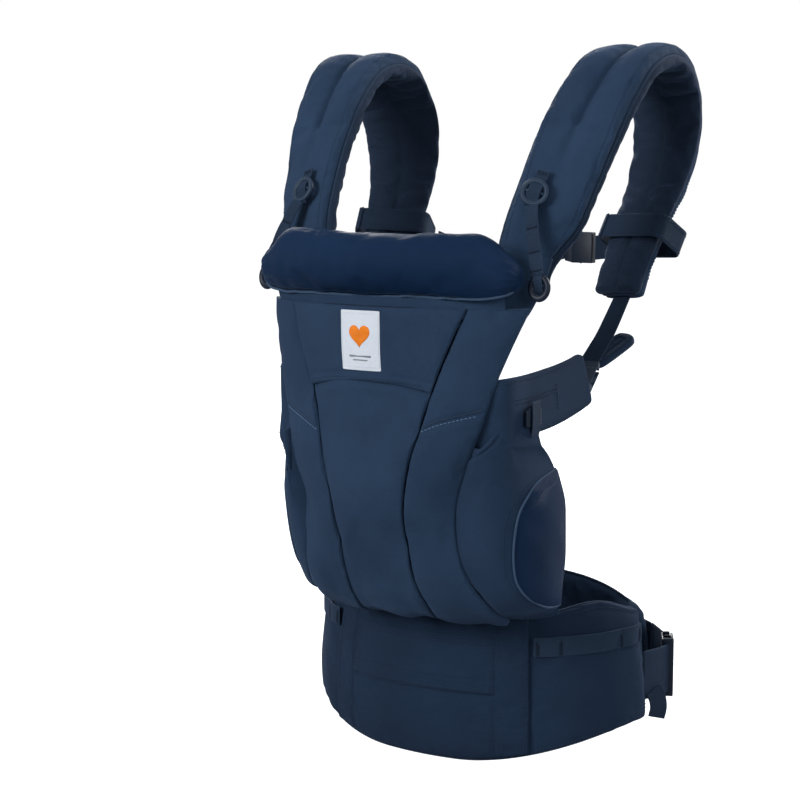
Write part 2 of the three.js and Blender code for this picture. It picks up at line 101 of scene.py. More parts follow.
# A seat side's rows from the belt up: four points from the panel's edge to the leg opening, height.
SEAT_ROWS = [
    [79, -120, 99, -110, 117, -99, 130, -88, 149],
    [115, -184, 131, -165, 141, -138, 137, -106, 170],
    [97, -206, 126, -194, 145, -152, 141, -106, 207],
    [88, -209, 120, -203, 144, -158, 142, -108, 262],
    [99, -212, 117, -206, 136, -174, 141, -124, 300],
    [107, -211, 118, -203, 132, -183, 141, -150, 326],
]
# The curved seam round the seat side's satin inset: share along the rows, share of the height.
INSET_SEAM = [[1.0, 0.80], [0.80, 0.765], [0.64, 0.71], [0.50, 0.625], [0.43, 0.52], [0.395, 0.42],
              [0.385, 0.34], [0.43, 0.265], [0.56, 0.205], [0.76, 0.165], [1.0, 0.14]]

# How far the left seat side lies inside the mirror image of the right one: its edge, and the rest.
LEFT_SEAT_IN = [[8, 10], [21, 20], [9, 18], [-9, 8], [-7, 9], [-3, 9]]
SEAT_TUCK = 0.13            # share of the row that is sewn in behind the body panel
SEAT_TUCK_IN, SEAT_TUCK_BACK = 20, 8

BAND_ROUTE = [
    [88, -200, 350], [107, -199, 357], [126, -190, 361], [129, -155, 362], [134, -118, 366],
    [139, -90, 372], [144, -66, 380],
]
BAND_WIDTH = 58

STRAP_ROUTE = [
    [126, -150, 466], [130, -149, 500], [136, -140, 535], [142, -120, 575], [147, -97, 615],
    [152, -70, 651], [156, -35, 680], [159, 8, 691], [161, 48, 680], [162, 75, 647],
    [160, 84, 606], [155, 74, 562], [149, 50, 520], [145, 29, 485], [143, 12, 452],
]
STRAP_ROOT_WIDTH, STRAP_WIDTH, STRAP_END_WIDTH = 68, 82, 50
STRAP_TURN = 17             # degrees its face turns outward at the front, inward at the back
STRAP_THICKNESS = 22
STRAP_TAPER = 26            # how far the outer edge runs in at the root
RING_BUTTON_AT = 0.145      # places along the strap, as shares of its length
RING_BUTTON_INWARD = 12
CHEST_LOOP_AT = 0.885
CHEST_LOOP_PAST = (11, 10.5)    # how far the loop stands off the strap's edges and its two faces

PILLOW_HALF_LENGTH = 143
PILLOW_HALF_HEIGHT = 34
PILLOW_HALF_DEPTH = 28
PILLOW_HEIGHT = 491
PILLOW_END = 15             # length of its rounded ends

WEBBING_THICKNESS = 1.8
CHEST_WEBBING = 25
SHOULDER_WEBBING = 21
SIDES = [("right", 1), ("left", -1)]

# ------------------------------------------------------------------ camera, light and floor

camera = bpy.data.objects.new("camera", bpy.data.cameras.new("camera"))
bpy.context.scene.collection.objects.link(camera)
camera.location = (0.950, -1.5969, 0.590)
camera.rotation_euler = (math.radians(82.5), 0, math.radians(32.86))
camera.data.lens = 82.9
camera.data.sensor_width = 36
camera.data.clip_end = 50
bpy.context.scene.camera = camera
bpy.context.scene.view_settings.view_transform = "Standard"


def area_light(name, place, aim, size, watts, colour=(1, 1, 1)):
    light = bpy.data.lights.new(name, "AREA")
    light.shape, light.size, light.energy, light.color = "DISK", size, watts, colour
    lamp = bpy.data.objects.new(name, light)
    bpy.context.scene.collection.objects.link(lamp)
    lamp.location = place
    lamp.rotation_euler = (Vector(aim) - Vector(place)).to_track_quat("-Z", "Y").to_euler()


area_light("key", (-0.9, -2.9, 1.6), (0, -0.1, 0.5), 1.4, 172)
area_light("fill", (2.6, -1.3, 1.2), (0, 0, 0.35), 1.8, 56, (0.94, 0.97, 1))
area_light("top", (0.1, -0.3, 2.8), (0, 0, 0.4), 1.6, 26)
area_light("rim", (-1.9, 2.1, 1.5), (0, 0, 0.4), 1.2, 110)
area_light("back", (1.3, 2.7, 1.7), (0, 0, 0.35), 1.4, 150)

# The backdrop is white, and the light that the room itself gives is softer than that.
world = bpy.data.worlds.new("studio")
world.use_nodes = True
room = world.node_tree
seen = room.nodes.new("ShaderNodeLightPath").outputs["Is Camera Ray"]
backdrop = room.nodes.new("ShaderNodeMix")
backdrop.data_type = "RGBA"
room.links.new(seen, backdrop.inputs[0])
backdrop.inputs[6].default_value = (0.50, 0.53, 0.58, 1)
backdrop.inputs[7].default_value = (1, 1, 1, 1)
room.links.new(backdrop.outputs[2], room.nodes["Background"].inputs["Color"])
bpy.context.scene.world = world

# ------------------------------------------------------------------ materials


class Shader:
    """A material's node tree, with short ways to add nodes and links."""

    def __init__(self, name):
        self.material = bpy.data.materials.new(name)
        self.material.use_nodes = True
        self.tree = self.material.node_tree
        self.surface = self.tree.nodes["Principled BSDF"]

    def node(self, kind, inputs=None, **settings):
        made = self.tree.nodes.new(kind)
        for key, value in settings.items():
            setattr(made, key, value)
        for key, value in (inputs or {}).items():
            if isinstance(value, bpy.types.NodeSocket):
                self.tree.links.new(value, made.inputs[key])
            else:
                made.inputs[key].default_value = value
        return made

    def math(self, operation, a, b=0.0, c=0.0):
        return self.node("ShaderNodeMath", {0: a, 1: b, 2: c}, operation=operation).outputs[0]

    def noise(self, coordinates, scale, detail=3.0, stretch=(1, 1, 1), roughness=0.5):
        spread = self.node("ShaderNodeMapping", {"Vector": coordinates, "Scale": stretch})
        made = self.node("ShaderNodeTexNoise", {
            "Vector": spread.outputs[0], "Scale": scale, "Detail": detail, "Roughness": roughness})
        return made.outputs[0]

    def mix_colour(self, factor, a, b, blend="MIX"):
        made = self.node("ShaderNodeMix", data_type="RGBA", blend_type=blend)
        for socket, value in zip((made.inputs[0], made.inputs[6], made.inputs[7]), (factor, a, b)):
            if isinstance(value, bpy.types.NodeSocket):
                self.tree.links.new(value, socket)
            else:
                socket.default_value = value if isinstance(value, float) else (*value, 1)
        return made.outputs[2]

    def spread(self, value, low, high):
        """The value, from 0 to 1, moved to the range from low to high."""
        return self.node("ShaderNodeMapRange", {
            "Value": value, "To Min": low, "To Max": high}).outputs[0]

    def bump(self, height, distance, strength=1.0, under=None):
        inputs = {"Height": height, "Distance": distance, "Strength": strength}
        if under is not None:
            inputs["Normal"] = under
        return self.node("ShaderNodeBump", inputs).outputs[0]

    def finish(self, colour, normal, roughness, **constants):
        links = self.tree.links
        links.new(colour, self.surface.inputs["Base Color"])
        links.new(normal, self.surface.inputs["Normal"])
        if isinstance(roughness, bpy.types.NodeSocket):
            links.new(roughness, self.surface.inputs["Roughness"])
        else:
            self.surface.inputs["Roughness"].default_value = roughness
        for key, value in constants.items():
            self.surface.inputs[key.replace("_", " ")].default_value = value
        return self.material


def fabric(name, dark, light, thread, weave="plain", roughness=0.86, sheen=0.05, slub=0.5,
           crease=0.0006, worn=0.10, gloss=0.06):
    """Woven cloth: threads from the weave map in metres, slubs along them, and soft wear."""
    s = Shader(name)
    cloth_map = s.node("ShaderNodeUVMap", uv_map="weave").outputs[0]
    place_ = s.node("ShaderNodeTexCoord").outputs["Object"]
    axes = s.node("ShaderNodeSeparateXYZ", {0: cloth_map})
    turns = 2 * math.pi / thread
    across, along = (s.math("MULTIPLY", axes.outputs[i], turns) for i in (0, 1))
    if weave == "plain":
        threads = s.math("MULTIPLY", s.math("SINE", across), s.math("SINE", along))
    elif weave == "twill":
        threads = s.math("SINE", s.math("ADD", across, along))
    elif weave == "rib":
        threads = s.math("MULTIPLY", s.math("SINE", along),
                         s.math("MULTIPLY_ADD", s.math("SINE", across), 0.4, 0.6))
    else:
        threads = s.math("SINE", s.math("MULTIPLY_ADD", along, 3.0, across))
    height = s.math("MULTIPLY_ADD", threads, 0.5, 0.5)
    warp = s.noise(cloth_map, 1.0, 2.0, (90, 1500, 1))
    weft = s.noise(cloth_map, 1.0, 2.0, (1500, 90, 1))
    slubs = s.math("MULTIPLY_ADD", s.math("ADD", warp, weft), 0.5, 0.0)
    blotch = s.noise(place_, 11.0, 4.0)
    fine = s.noise(place_, 420.0, 2.0)
    tone = s.math("ADD", s.math("MULTIPLY", height, 1 - slub), s.math("MULTIPLY", slubs, slub))
    tone = s.math("MULTIPLY_ADD", s.math("SUBTRACT", blotch, 0.5), 0.9, tone)
    tone = s.math("MULTIPLY_ADD", s.math("SUBTRACT", fine, 0.5), 0.25, tone)
    colour = s.mix_colour(tone, dark, light)
    edge = s.node("ShaderNodeNewGeometry").outputs["Pointiness"]
    rub = s.node("ShaderNodeMapRange", {
        "Value": edge, "From Min": 0.52, "From Max": 0.62, "To Max": worn}).outputs[0]
    colour = s.mix_colour(rub, colour, tuple(min(1, 3 * c + 0.01) for c in light))
    soft = s.noise(place_, 55.0, 3.0, roughness=0.6)
    normal = s.bump(soft, crease, 0.6)
    normal = s.bump(slubs, thread * 0.5, 0.5, normal)
    normal = s.bump(height, thread * 0.35, 0.7, normal)
    return s.finish(colour, normal, s.spread(blotch, roughness - 0.06, min(1, roughness + 0.06)),
                    Sheen_Weight=sheen, Sheen_Roughness=0.4, Sheen_Tint=(0.30, 0.48, 0.90, 1),
                    Specular_IOR_Level=gloss)


def moulded(name, dark, light, roughness=0.42, grain=900.0):
    """Injection-moulded plastic: fine spark grain, faint flow marks and edges polished by use."""
    s = Shader(name)
    place_ = s.node("ShaderNodeTexCoord").outputs["Object"]
    pits = s.noise(place_, grain, 2.0)
    flow = s.noise(place_, 60.0, 4.0, (1, 1, 3))
    edge = s.node("ShaderNodeNewGeometry").outputs["Pointiness"]
    rub = s.node("ShaderNodeMapRange", {
        "Value": edge, "From Min": 0.53, "From Max": 0.64, "To Max": 0.10}).outputs[0]
    colour = s.mix_colour(rub, s.mix_colour(flow, dark, light), tuple(2.2 * c for c in light))
    gloss = s.math("MULTIPLY_ADD", pits, 0.16, roughness - 0.08)
    return s.finish(colour, s.bump(pits, 0.00006, 0.6, s.bump(flow, 0.0002, 0.3)), gloss,
                    Specular_IOR_Level=0.10, Coat_Weight=0.02, Coat_Roughness=0.5)


def plain_floor():
    """A pale floor that is lit from within like a light table, so it stays as white as the wall."""
    s = Shader("floor")
    place_ = s.node("ShaderNodeTexCoord").outputs["Object"]
    colour = s.mix_colour(s.noise(place_, 1.7, 4.0), (0.30, 0.31, 0.32), (0.34, 0.35, 0.36))
    seen_ = s.node("ShaderNodeLightPath").outputs["Is Camera Ray"]
    s.tree.links.new(s.math("MULTIPLY", seen_, 0.87), s.surface.inputs["Emission Strength"])
    return s.finish(colour, s.bump(s.noise(place_, 140.0), 0.0002, 0.2), 0.9,
                    Emission_Color=(1, 1, 1, 1), Specular_IOR_Level=0.1)


OUTER = fabric("outer_fabric", (0.0040, 0.0098, 0.0215), (0.0130, 0.0265, 0.0510), 0.00062)
# A darker copy of the outer cloth for the seat sides, side bands, lumbar pad and strap tabs:
# painted shade, the same cloth made darker to stand in for the shade on these parts.
OUTER_SIDE_PAINTED_SHADE = fabric("outer_fabric_side_painted_shade", (0.0034, 0.0082, 0.0180), (0.0105, 0.0215, 0.0425),
                    0.00062)
# A still darker copy for the belt's cover and front panel: painted shade, standing in for the shade
# under the body panel and the light falling off towards the bottom.
OUTER_BELT_PAINTED_SHADE = fabric("outer_fabric_belt_painted_shade", (0.0024, 0.0062, 0.0140), (0.0075, 0.0160, 0.0330),
                    0.00062)
INNER = fabric("inner_fabric", (0.0022, 0.0040, 0.0085), (0.0065, 0.0105, 0.0205), 0.0008,
               roughness=0.92, sheen=0.06)
INNER_PAD = fabric("inner_pad_fabric", (0.0030, 0.0058, 0.0118), (0.0092, 0.0160, 0.0300), 0.0008,
                   roughness=0.9, sheen=0.08)
SATIN = fabric("satin_fabric", (0.0008, 0.0055, 0.0180), (0.0021, 0.0108, 0.0310), 0.0004, "satin",
               roughness=0.6, sheen=0.02, gloss=0.05, slub=0.35, crease=0.0004, worn=0.05)
WEBBING = fabric("webbing", (0.0028, 0.0062, 0.0130), (0.0090, 0.0170, 0.0320), 0.0016, "rib",
                 roughness=0.78, sheen=0.06, slub=0.3)
# Piping paler than the panels: partly its own colour, partly a painted highlight for the bright
# line along the pillow's lower edge.
PIPING_TONE_AND_HIGHLIGHT = fabric("piping", (0.0090, 0.0180, 0.0340), (0.0260, 0.0440, 0.0740), 0.0005, "twill",
                roughness=0.75, sheen=0.1)
PIPING_DARK = fabric("piping_dark", (0.0036, 0.0078, 0.0155), (0.0110, 0.0205, 0.0370), 0.0005,
                     "twill", roughness=0.8, sheen=0.08)
WEBBING_FLAT = fabric("webbing_flat", (0.0036, 0.0080, 0.0160), (0.0110, 0.0205, 0.0375), 0.0011,
                      "rib", roughness=0.8, sheen=0.06, slub=0.3)
THREAD_DARK = fabric("thread_dark", (0.0015, 0.0032, 0.0065), (0.0045, 0.0085, 0.0160), 0.0003,
                     "twill", roughness=0.6, sheen=0.05)
THREAD = fabric("thread", (0.0026, 0.0060, 0.0125), (0.0085, 0.0165, 0.0310), 0.0003, "twill",
                roughness=0.6, sheen=0.05)
LIGHT_THREAD = fabric("light_thread", (0.018, 0.036, 0.062), (0.045, 0.078, 0.125), 0.0003, "twill",
                      roughness=0.55, sheen=0.05)
LABEL = fabric("label_fabric", (0.24, 0.26, 0.285), (0.33, 0.345, 0.375), 0.0007, "rib",
               roughness=0.7, sheen=0.1, slub=0.4, crease=0.0002, worn=0.0)
ORANGE = fabric("orange_thread", (0.30, 0.070, 0.003), (0.42, 0.115, 0.007), 0.0006, "rib",
                roughness=0.5, sheen=0.1, worn=0.0)
GREY = fabric("grey_thread", (0.055, 0.06, 0.07), (0.14, 0.15, 0.17), 0.0006, "rib", roughness=0.6,
              sheen=0.1, worn=0.0)
PLASTIC = moulded("plastic", (0.0014, 0.0034, 0.0080), (0.0030, 0.0066, 0.0140))
PLASTIC_LIGHT = moulded("plastic_ribbed", (0.0040, 0.0100, 0.0200), (0.0070, 0.0165, 0.0310), 0.40)

floor_mesh = bpy.data.meshes.new("floor")
floor_mesh.from_pydata([(-9, -9, 0), (9, -9, 0), (9, 9, 0), (-9, 9, 0)], [], [(0, 1, 2, 3)])
floor = bpy.data.objects.new("floor", floor_mesh)
floor.location.z = -0.0005
floor_mesh.materials.append(plain_floor())
bpy.context.scene.collection.objects.link(floor)

# ------------------------------------------------------------------ numbers and curves


def mix(a, b, t):
    return a + (b - a) * t


def ease(value, start, end):
    t = np.clip((np.asarray(value, float) - start) / (end - start), 0, 1)
    return t * t * (3 - 2 * t)


def hump(distance, width):
    """1 at distance 0, falling smoothly to almost nothing at twice the width."""
    return np.exp(-(np.asarray(distance, float) / width) ** 2)


def row_at(rows, t):
    """Reads a table of rows at t from 0 to 1, smoothly between its rows."""
    rows = np.asarray(rows, float)
    where = np.clip(np.asarray(t, float), 0, 1) * (len(rows) - 1)
    i = np.minimum(where.astype(int), len(rows) - 2)
    f = (where - i)[..., None]
    a, b = rows[np.maximum(i - 1, 0)], rows[i]
    c, d = rows[i + 1], rows[np.minimum(i + 2, len(rows) - 1)]
    return b + 0.5 * f * (c - a + f * (2 * a - 5 * b + 4 * c - d + f * (3 * (b - c) + d - a)))


def unit(v):
    v = np.asarray(v, float)
    return v / np.maximum(np.linalg.norm(v, axis=-1, keepdims=True), 1e-9)


class Route:
    """A smooth curve through points, read by the share of its length."""

    def __init__(self, points):
        self.dense = row_at(points, np.linspace(0, 1, 60 * len(points)))
        gaps = np.linalg.norm(np.diff(self.dense, axis=0), axis=1)
        self.places = np.concatenate([[0], np.cumsum(gaps)])
        self.length = self.places[-1]

    def at(self, share):
        where = np.clip(share, 0, 1) * self.length
        return np.stack([np.interp(where, self.places, self.dense[:, k]) for k in range(3)], -1)

    def tangent(self, share):
        step = 0.004
        low, high = np.clip(share - step, 0, 1), np.clip(share + step, 0, 1)
        return unit(self.at(high) - self.at(low))


def ripple(points, size, seed, stretch=(1, 1, 1)):
    """Smooth random waves about size millimetres long, the same ones for the same seed."""
    random = np.random.default_rng(seed)
    total = 0
    for _ in range(10):
        wave = unit(random.normal(size=3)) / size / random.uniform(0.7, 1.6)
        total = total + np.sin(points @ (2 * math.pi * wave / np.array(stretch))
                               + random.uniform(0, 2 * math.pi))
    return total / 3.2


def normals_of(grid, heart):
    across, along = np.gradient(grid, axis=0), np.gradient(grid, axis=1)
    n = unit(np.cross(across, along))
    outward = (n * (grid - np.array(heart, float))).sum(-1).mean()
    return n if outward > 0 else -n


# ------------------------------------------------------------------ meshes


def place(points):
    """Millimetres about the ring's axis to metres in the row frame."""
    return (np.asarray(points, float) + [0, RING_SHIFT_Y, 0]) * 0.001


def unplace(points):
    """Metres in the row frame back to millimetres about the ring's axis."""
    return np.asarray(points, float) * 1000 - [0, RING_SHIFT_Y, 0]


def middle_of(node):
    """The middle of a CAD node's box, in millimetres about the ring's axis."""
    low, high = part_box(node)
    return (np.array(low) + np.array(high)) / 2 * 1000 - [0, RING_SHIFT_Y, 0]


def object_of(name, points, faces, material, uv=None):
    mesh = bpy.data.meshes.new(name)
    mesh.from_pydata(place(points).tolist(), [], [list(f) for f in faces])
    if uv is not None:
        layer = mesh.uv_layers.new(name="weave")
        loops = np.zeros(len(mesh.loops), int)
        mesh.loops.foreach_get("vertex_index", loops)
        layer.data.foreach_set("uv", (np.asarray(uv, float)[loops] * 0.001).ravel())
    mesh.materials.append(material)
    made = bmesh.new()
    made.from_mesh(mesh)
    bmesh.ops.recalc_face_normals(made, faces=made.faces)
    made.to_mesh(mesh)
    made.free()
    mesh.polygons.foreach_set("use_smooth", [True] * len(mesh.polygons))
    piece = bpy.data.objects.new(name, mesh)
    bpy.context.scene.collection.objects.link(piece)
    return piece


def finished(piece, body, slot, *nodes):
    """The piece rides on a body and stands for these CAD nodes, which it hides; slot is not used.
    """
    if body:
        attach(piece, body)
    if nodes:
        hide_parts(*nodes)
    return piece


def subdivide(piece, levels=1):
    piece.modifiers.new("subdivision", "SUBSURF").levels = levels
    piece.modifiers["subdivision"].render_levels = levels
    return piece


def shares(length, step, rim):
    """Places from 0 to 1 about step apart, with closer ones round the rim at both ends."""
    turns = [rim * (1 - math.cos(math.radians(a))) for a in (0, 28, 52, 74)]
    middle = np.linspace(rim, length - rim, max(3, round((length - 2 * rim) / step) + 1))
    return np.concatenate([turns, middle, length - np.array(turns)[::-1]]) / length


def round_corners(u, v, length_u, length_v, radius):
    """Rounds the outline's corners: one radius, or one for each of (u, v) = 00, 10, 01 and 11."""
    radii = np.minimum(np.broadcast_to(radius, 4), min(length_u, length_v) / 2) + 1e-6
    radius = np.where(u < 0.5, np.where(v < 0.5, radii[0], radii[2]),
                      np.where(v < 0.5, radii[1], radii[3]))
    du, dv = np.minimum(u, 1 - u) * length_u, np.minimum(v, 1 - v) * length_v
    p, q = np.clip(1 - du / radius, 0, 1), np.clip(1 - dv / radius, 0, 1)
    new_du = np.where((p > 0) & (q > 0), radius * (1 - p * np.sqrt(1 - q * q / 2)), du)
    new_dv = np.where((p > 0) & (q > 0), radius * (1 - q * np.sqrt(1 - p * p / 2)), dv)
    return (np.where(u < 0.5, new_du / length_u, 1 - new_du / length_u),
            np.where(v < 0.5, new_dv / length_v, 1 - new_dv / length_v))


class Shell:
    """A closed piece of cloth or padding: an outer and an inner skin that meet round the rim.

    base gives the surface over the unit square, out is how far its outer skin stands off that
    surface, and relief and back_relief lift the two skins; they are given the place on the cloth
    in millimetres, x from the middle and y from v = 0, the shares u and v, and the points.
    """

    def __init__(self, name, base, out, thickness, material, heart, step=4, rim=None, corner=0,
                 relief=None, back_relief=None, fold=None):
        coarse = base(*np.meshgrid(np.linspace(0, 1, 21), np.linspace(0, 1, 21), indexing="ij"))
        length_u = np.linalg.norm(np.diff(coarse, axis=0), axis=-1).sum(0).mean()
        length_v = np.linalg.norm(np.diff(coarse, axis=1), axis=-1).sum(1).mean()
        rim = (thickness if np.isscalar(thickness) else 8) / 2 if rim is None else rim
        steps = (step, step) if np.isscalar(step) else step
        self.us, self.vs = shares(length_u, steps[0], rim), shares(length_v, steps[1], rim)
        u, v = np.meshgrid(self.us, self.vs, indexing="ij")
        if np.any(corner):
            u, v = round_corners(u, v, length_u, length_v, corner)
        grid = base(u, v)
        n = normals_of(grid, heart)
        along_u = np.concatenate([np.zeros((1, u.shape[1])), np.cumsum(
            np.linalg.norm(np.diff(grid, axis=0), axis=-1), axis=0)])
        along_v = np.concatenate([np.zeros((u.shape[0], 1)), np.cumsum(
            np.linalg.norm(np.diff(grid, axis=1), axis=-1), axis=1)], axis=1)
        edge_u = np.minimum(self.us, 1 - self.us)[:, None] * length_u + 0 * v
        edge_v = np.minimum(self.vs, 1 - self.vs)[None, :] * length_v + 0 * u
        full = [np.sqrt(1 - (1 - np.minimum(e / rim, 1)) ** 2) for e in (edge_u, edge_v)]
        profile = (full[0] * full[1])[..., None]
        x, y = along_u - along_u[-1] / 2, along_v
        self.u, self.v, self.x, self.y, self.edge = u, v, x, y, np.minimum(edge_u, edge_v)
        depth = thickness(u, v) if callable(thickness) else thickness + 0 * u
        lift = relief(x, y, u, v, grid) if relief else 0 * u
        back = back_relief(x, y, u, v, grid) if back_relief else 0 * u
        keep = np.minimum(self.edge / max(rim, 1), 1)
        middle = grid + n * (out - depth / 2)[..., None]
        outer = middle + n * ((depth / 2)[..., None] * profile + (lift * keep)[..., None])
        inner = middle - n * ((depth / 2)[..., None] * profile + (back * keep)[..., None])
        if fold:
            outer, inner = fold(outer, u, v), fold(inner, u, v)
        self.shape = u.shape
        rows, columns = u.shape
        border = np.zeros(u.shape, bool)
        border[[0, -1], :] = border[:, [0, -1]] = True
        self.outer_index = np.arange(rows * columns).reshape(u.shape)
        self.inner_index = self.outer_index.copy()
        self.inner_index[~border] = rows * columns + np.arange((~border).sum())
        points = np.concatenate([outer.reshape(-1, 3), inner[~border]])
        faces = []
        for index in (self.outer_index, self.inner_index):
            faces.append(np.stack([index[:-1, :-1], index[1:, :-1], index[1:, 1:], index[:-1, 1:]],
                                  -1).reshape(-1, 4))
        uv = np.stack([x, y], -1)
        uv = np.concatenate([uv.reshape(-1, 2), uv[~border]])
        faces = np.concatenate(faces)
        faces[: len(faces) // 2] = faces[: len(faces) // 2, ::-1]
        self.piece = object_of(name, points, faces.tolist(), material, uv)
        self.tree = None

    def hold(self, outer=None, inner=None):
        """Weights from 0 to 1 for each point: how firmly cloth simulation holds it in place."""
        weights = np.zeros(len(self.piece.data.vertices))
        for index, weight in ((self.inner_index, inner), (self.outer_index, outer)):
            if weight is not None:
                weights[index.ravel()] = np.broadcast_to(weight, self.shape).ravel()
        border = self.edge < 0.01
        weights[self.outer_index[border]] = 1
        return weights

    def surface(self):
        if self.tree is None:
            self.tree = tree_of(self.piece)
        return self.tree

    def at(self, u, v, side="outer"):
        """The points of the finished skin at shares u and v, in row-frame metres, and normals."""
        index = self.outer_index if side == "outer" else self.inner_index
        spots = np.zeros(len(self.piece.data.vertices) * 3)
        self.piece.data.vertices.foreach_get("co", spots)
        grid = spots.reshape(-1, 3)[index]
        i = np.interp(u, self.us, np.arange(len(self.us)))
        j = np.interp(v, self.vs, np.arange(len(self.vs)))
        i0 = np.minimum(i.astype(int), len(self.us) - 2)
        j0 = np.minimum(j.astype(int), len(self.vs) - 2)
        f, g = (i - i0)[:, None], (j - j0)[:, None]
        guess = ((grid[i0, j0] * (1 - f) + grid[i0 + 1, j0] * f) * (1 - g)
                 + (grid[i0, j0 + 1] * (1 - f) + grid[i0 + 1, j0 + 1] * f) * g)
        spots, ups = [], []
        for point in guess:
            hit, normal, _, _ = self.surface().find_nearest(Vector(point))
            spots.append(hit)
            ups.append(normal)
        return np.array(spots), np.array(ups)


def tree_of(piece):
    evaluated = piece.evaluated_get(bpy.context.evaluated_depsgraph_get())
    return BVHTree.FromPolygons([v.co[:] for v in evaluated.data.vertices],
                                [p.vertices[:] for p in evaluated.data.polygons])


# ------------------------------------------------------------------ cloth simulation

waiting = []                # pieces that swell together when settle() runs


def swell(shell, weights, pressure=4.0, grow=0.0, cap=6.0, stiffness=15.0, bending=0.5):
    """The shell's cloth will fill with this pressure, grow by this share and move at most cap."""
    waiting.append((shell, weights, pressure, grow, cap, stiffness, bending))


def settle(frames=20):
    """Runs the cloth simulation of every waiting piece at once, and keeps its result as mesh."""
    scene = bpy.context.scene
    for shell, weights, pressure, grow, _, stiffness, bending in waiting:
        piece = shell.piece
        group = piece.vertex_groups.new(name="held")
        for i, weight in enumerate(weights):
            group.add([i], float(weight), "REPLACE")
        cloth = piece.modifiers.new("cloth", "CLOTH")
        settings = cloth.settings
        settings.quality = 5
        settings.mass = 0.3
        settings.tension_stiffness = settings.compression_stiffness = stiffness
        settings.bending_stiffness = bending
        settings.use_pressure = True
        settings.uniform_pressure_force = pressure
        settings.shrink_min = settings.shrink_max = -grow
        settings.vertex_group_mass = "held"
        settings.effector_weights.gravity = 0
        cloth.collision_settings.use_collision = False
        cloth.point_cache.frame_start, cloth.point_cache.frame_end = 1, frames
    for number in range(1, frames + 1):
        scene.frame_set(number)
    graph = bpy.context.evaluated_depsgraph_get()
    for shell, _, _, _, cap, _, _ in waiting:
        piece = shell.piece
        count = len(piece.data.vertices)
        before, after = np.zeros(count * 3), np.zeros(count * 3)
        piece.data.vertices.foreach_get("co", before)
        piece.evaluated_get(graph).data.vertices.foreach_get("co", after)
        move = (after - before).reshape(-1, 3) * 1000
        size = np.linalg.norm(move, axis=1, keepdims=True)
        move = np.where(size > 1e-9, move / np.maximum(size, 1e-9) * cap * np.tanh(size / cap), 0)
        piece.modifiers.remove(piece.modifiers["cloth"])
        piece.vertex_groups.clear()
        piece.data.vertices.foreach_set("co", before + (move * 0.001).ravel())
        piece.data.update()
    scene.frame_set(1)
    waiting.clear()


# ------------------------------------------------------------------ trim


def tube(name, spots, radius, material, closed=False, sides=8, squash=1.0, ups=None):
    """A round cord along points in row-frame metres; the radius is in millimetres."""
    spots = np.asarray(spots, float)
    ahead = np.roll(spots, -1, 0) - np.roll(spots, 1, 0)
    if not closed:
        ahead[0], ahead[-1] = spots[1] - spots[0], spots[-1] - spots[-2]
    ahead = unit(ahead)
    up = np.array([0, 0, 1.0]) if ups is None else np.asarray(ups, float)
    up = unit(up - ahead * (ahead * up).sum(-1, keepdims=True) + 1e-6)
    side = np.cross(ahead, up)
    count = len(spots)
    angles = np.linspace(0, 2 * math.pi, sides, endpoint=False)
    size = np.full(count, radius * 0.001)
    if not closed:
        size[[0, -1]] *= 0.55
    rings = (spots[:, None] + side[:, None] * (np.cos(angles)[None, :, None] * size[:, None, None])
             + up[:, None] * (np.sin(angles)[None, :, None] * size[:, None, None] * squash))
    gaps = np.linalg.norm(np.diff(spots, axis=0), axis=1)
    travelled = np.concatenate([[0], np.cumsum(gaps)]) * 1000
    uv = np.stack(np.broadcast_arrays(angles[None] * radius, travelled[:, None]), -1)
    index = np.arange(count * sides).reshape(count, sides)
    faces = []
    last = count if closed else count - 1
    for i in range(last):
        a, b = index[i], index[(i + 1) % count]
        for j in range(sides):
            k = (j + 1) % sides
            faces.append((a[j], a[k], b[k], b[j]))
    if not closed:
        faces += [tuple(index[0][::-1]), tuple(index[-1])]
    return object_of(name, unplace(rings.reshape(-1, 3)), faces, material, uv.reshape(-1, 2))


def stitches(name, lines, material, length=2.7, gap=1.0, radius=0.42):
    """Rows of sewing thread: lines holds (points, normals) in row-frame metres."""
    points, faces, uvs = [], [], []
    for spots, ups in lines:
        gaps = np.linalg.norm(np.diff(spots, axis=0), axis=1) * 1000
        where = np.concatenate([[0], np.cumsum(gaps)])
        count = int(where[-1] // (length + gap))
        for k in range(count):
            ends = k * (length + gap) + np.array([0, 0.18, 0.5, 0.82, 1]) * length
            line = np.stack([np.interp(ends, where, spots[:, c]) for c in range(3)], -1) * 1000
            up = unit(np.stack([np.interp(ends, where, ups[:, c]) for c in range(3)], -1))
            ahead = unit(line[-1] - line[0])
            side = unit(np.cross(ahead, up))
            arch = np.array([-0.35, 0.25, 0.42, 0.25, -0.35]) * radius * 1.6
            line = line + up * arch[:, None]
            start = len(points)
            points.append(line[0])
            for i, size in ((1, 0.85), (2, 1.0), (3, 0.85)):
                for a in range(5):
                    turn = 2 * math.pi * a / 5
                    points.append(line[i] + radius * size * (side[i] * math.cos(turn)
                                                             + up[i] * math.sin(turn)))
            points.append(line[4])
            for a in range(5):
                b = (a + 1) % 5
                faces.append((start, start + 1 + b, start + 1 + a))
                for ring in (0, 1):
                    low = start + 1 + ring * 5
                    faces.append((low + a, low + b, low + 5 + b, low + 5 + a))
                faces.append((start + 11 + a, start + 11 + b, start + 16))
            uvs += [(0, 0)] + [(a * 0.5, i) for i in (1, 2, 3) for a in range(5)] + [(0, length)]
    return object_of(name, np.array(points) - [0, RING_SHIFT_Y, 0], faces, material, uvs)


def seam_line(shell, us, vs, count=60, side="outer"):
    """A smooth line over the finished skin through shares (us, vs)."""
    where = np.linspace(0, 1, count)
    given = np.linspace(0, 1, len(us))
    if len(us) > 2:
        pair = row_at(np.stack([us, vs], -1), where)
        return shell.at(pair[:, 0], pair[:, 1], side)
    return shell.at(np.interp(where, given, us), np.interp(where, given, vs), side)


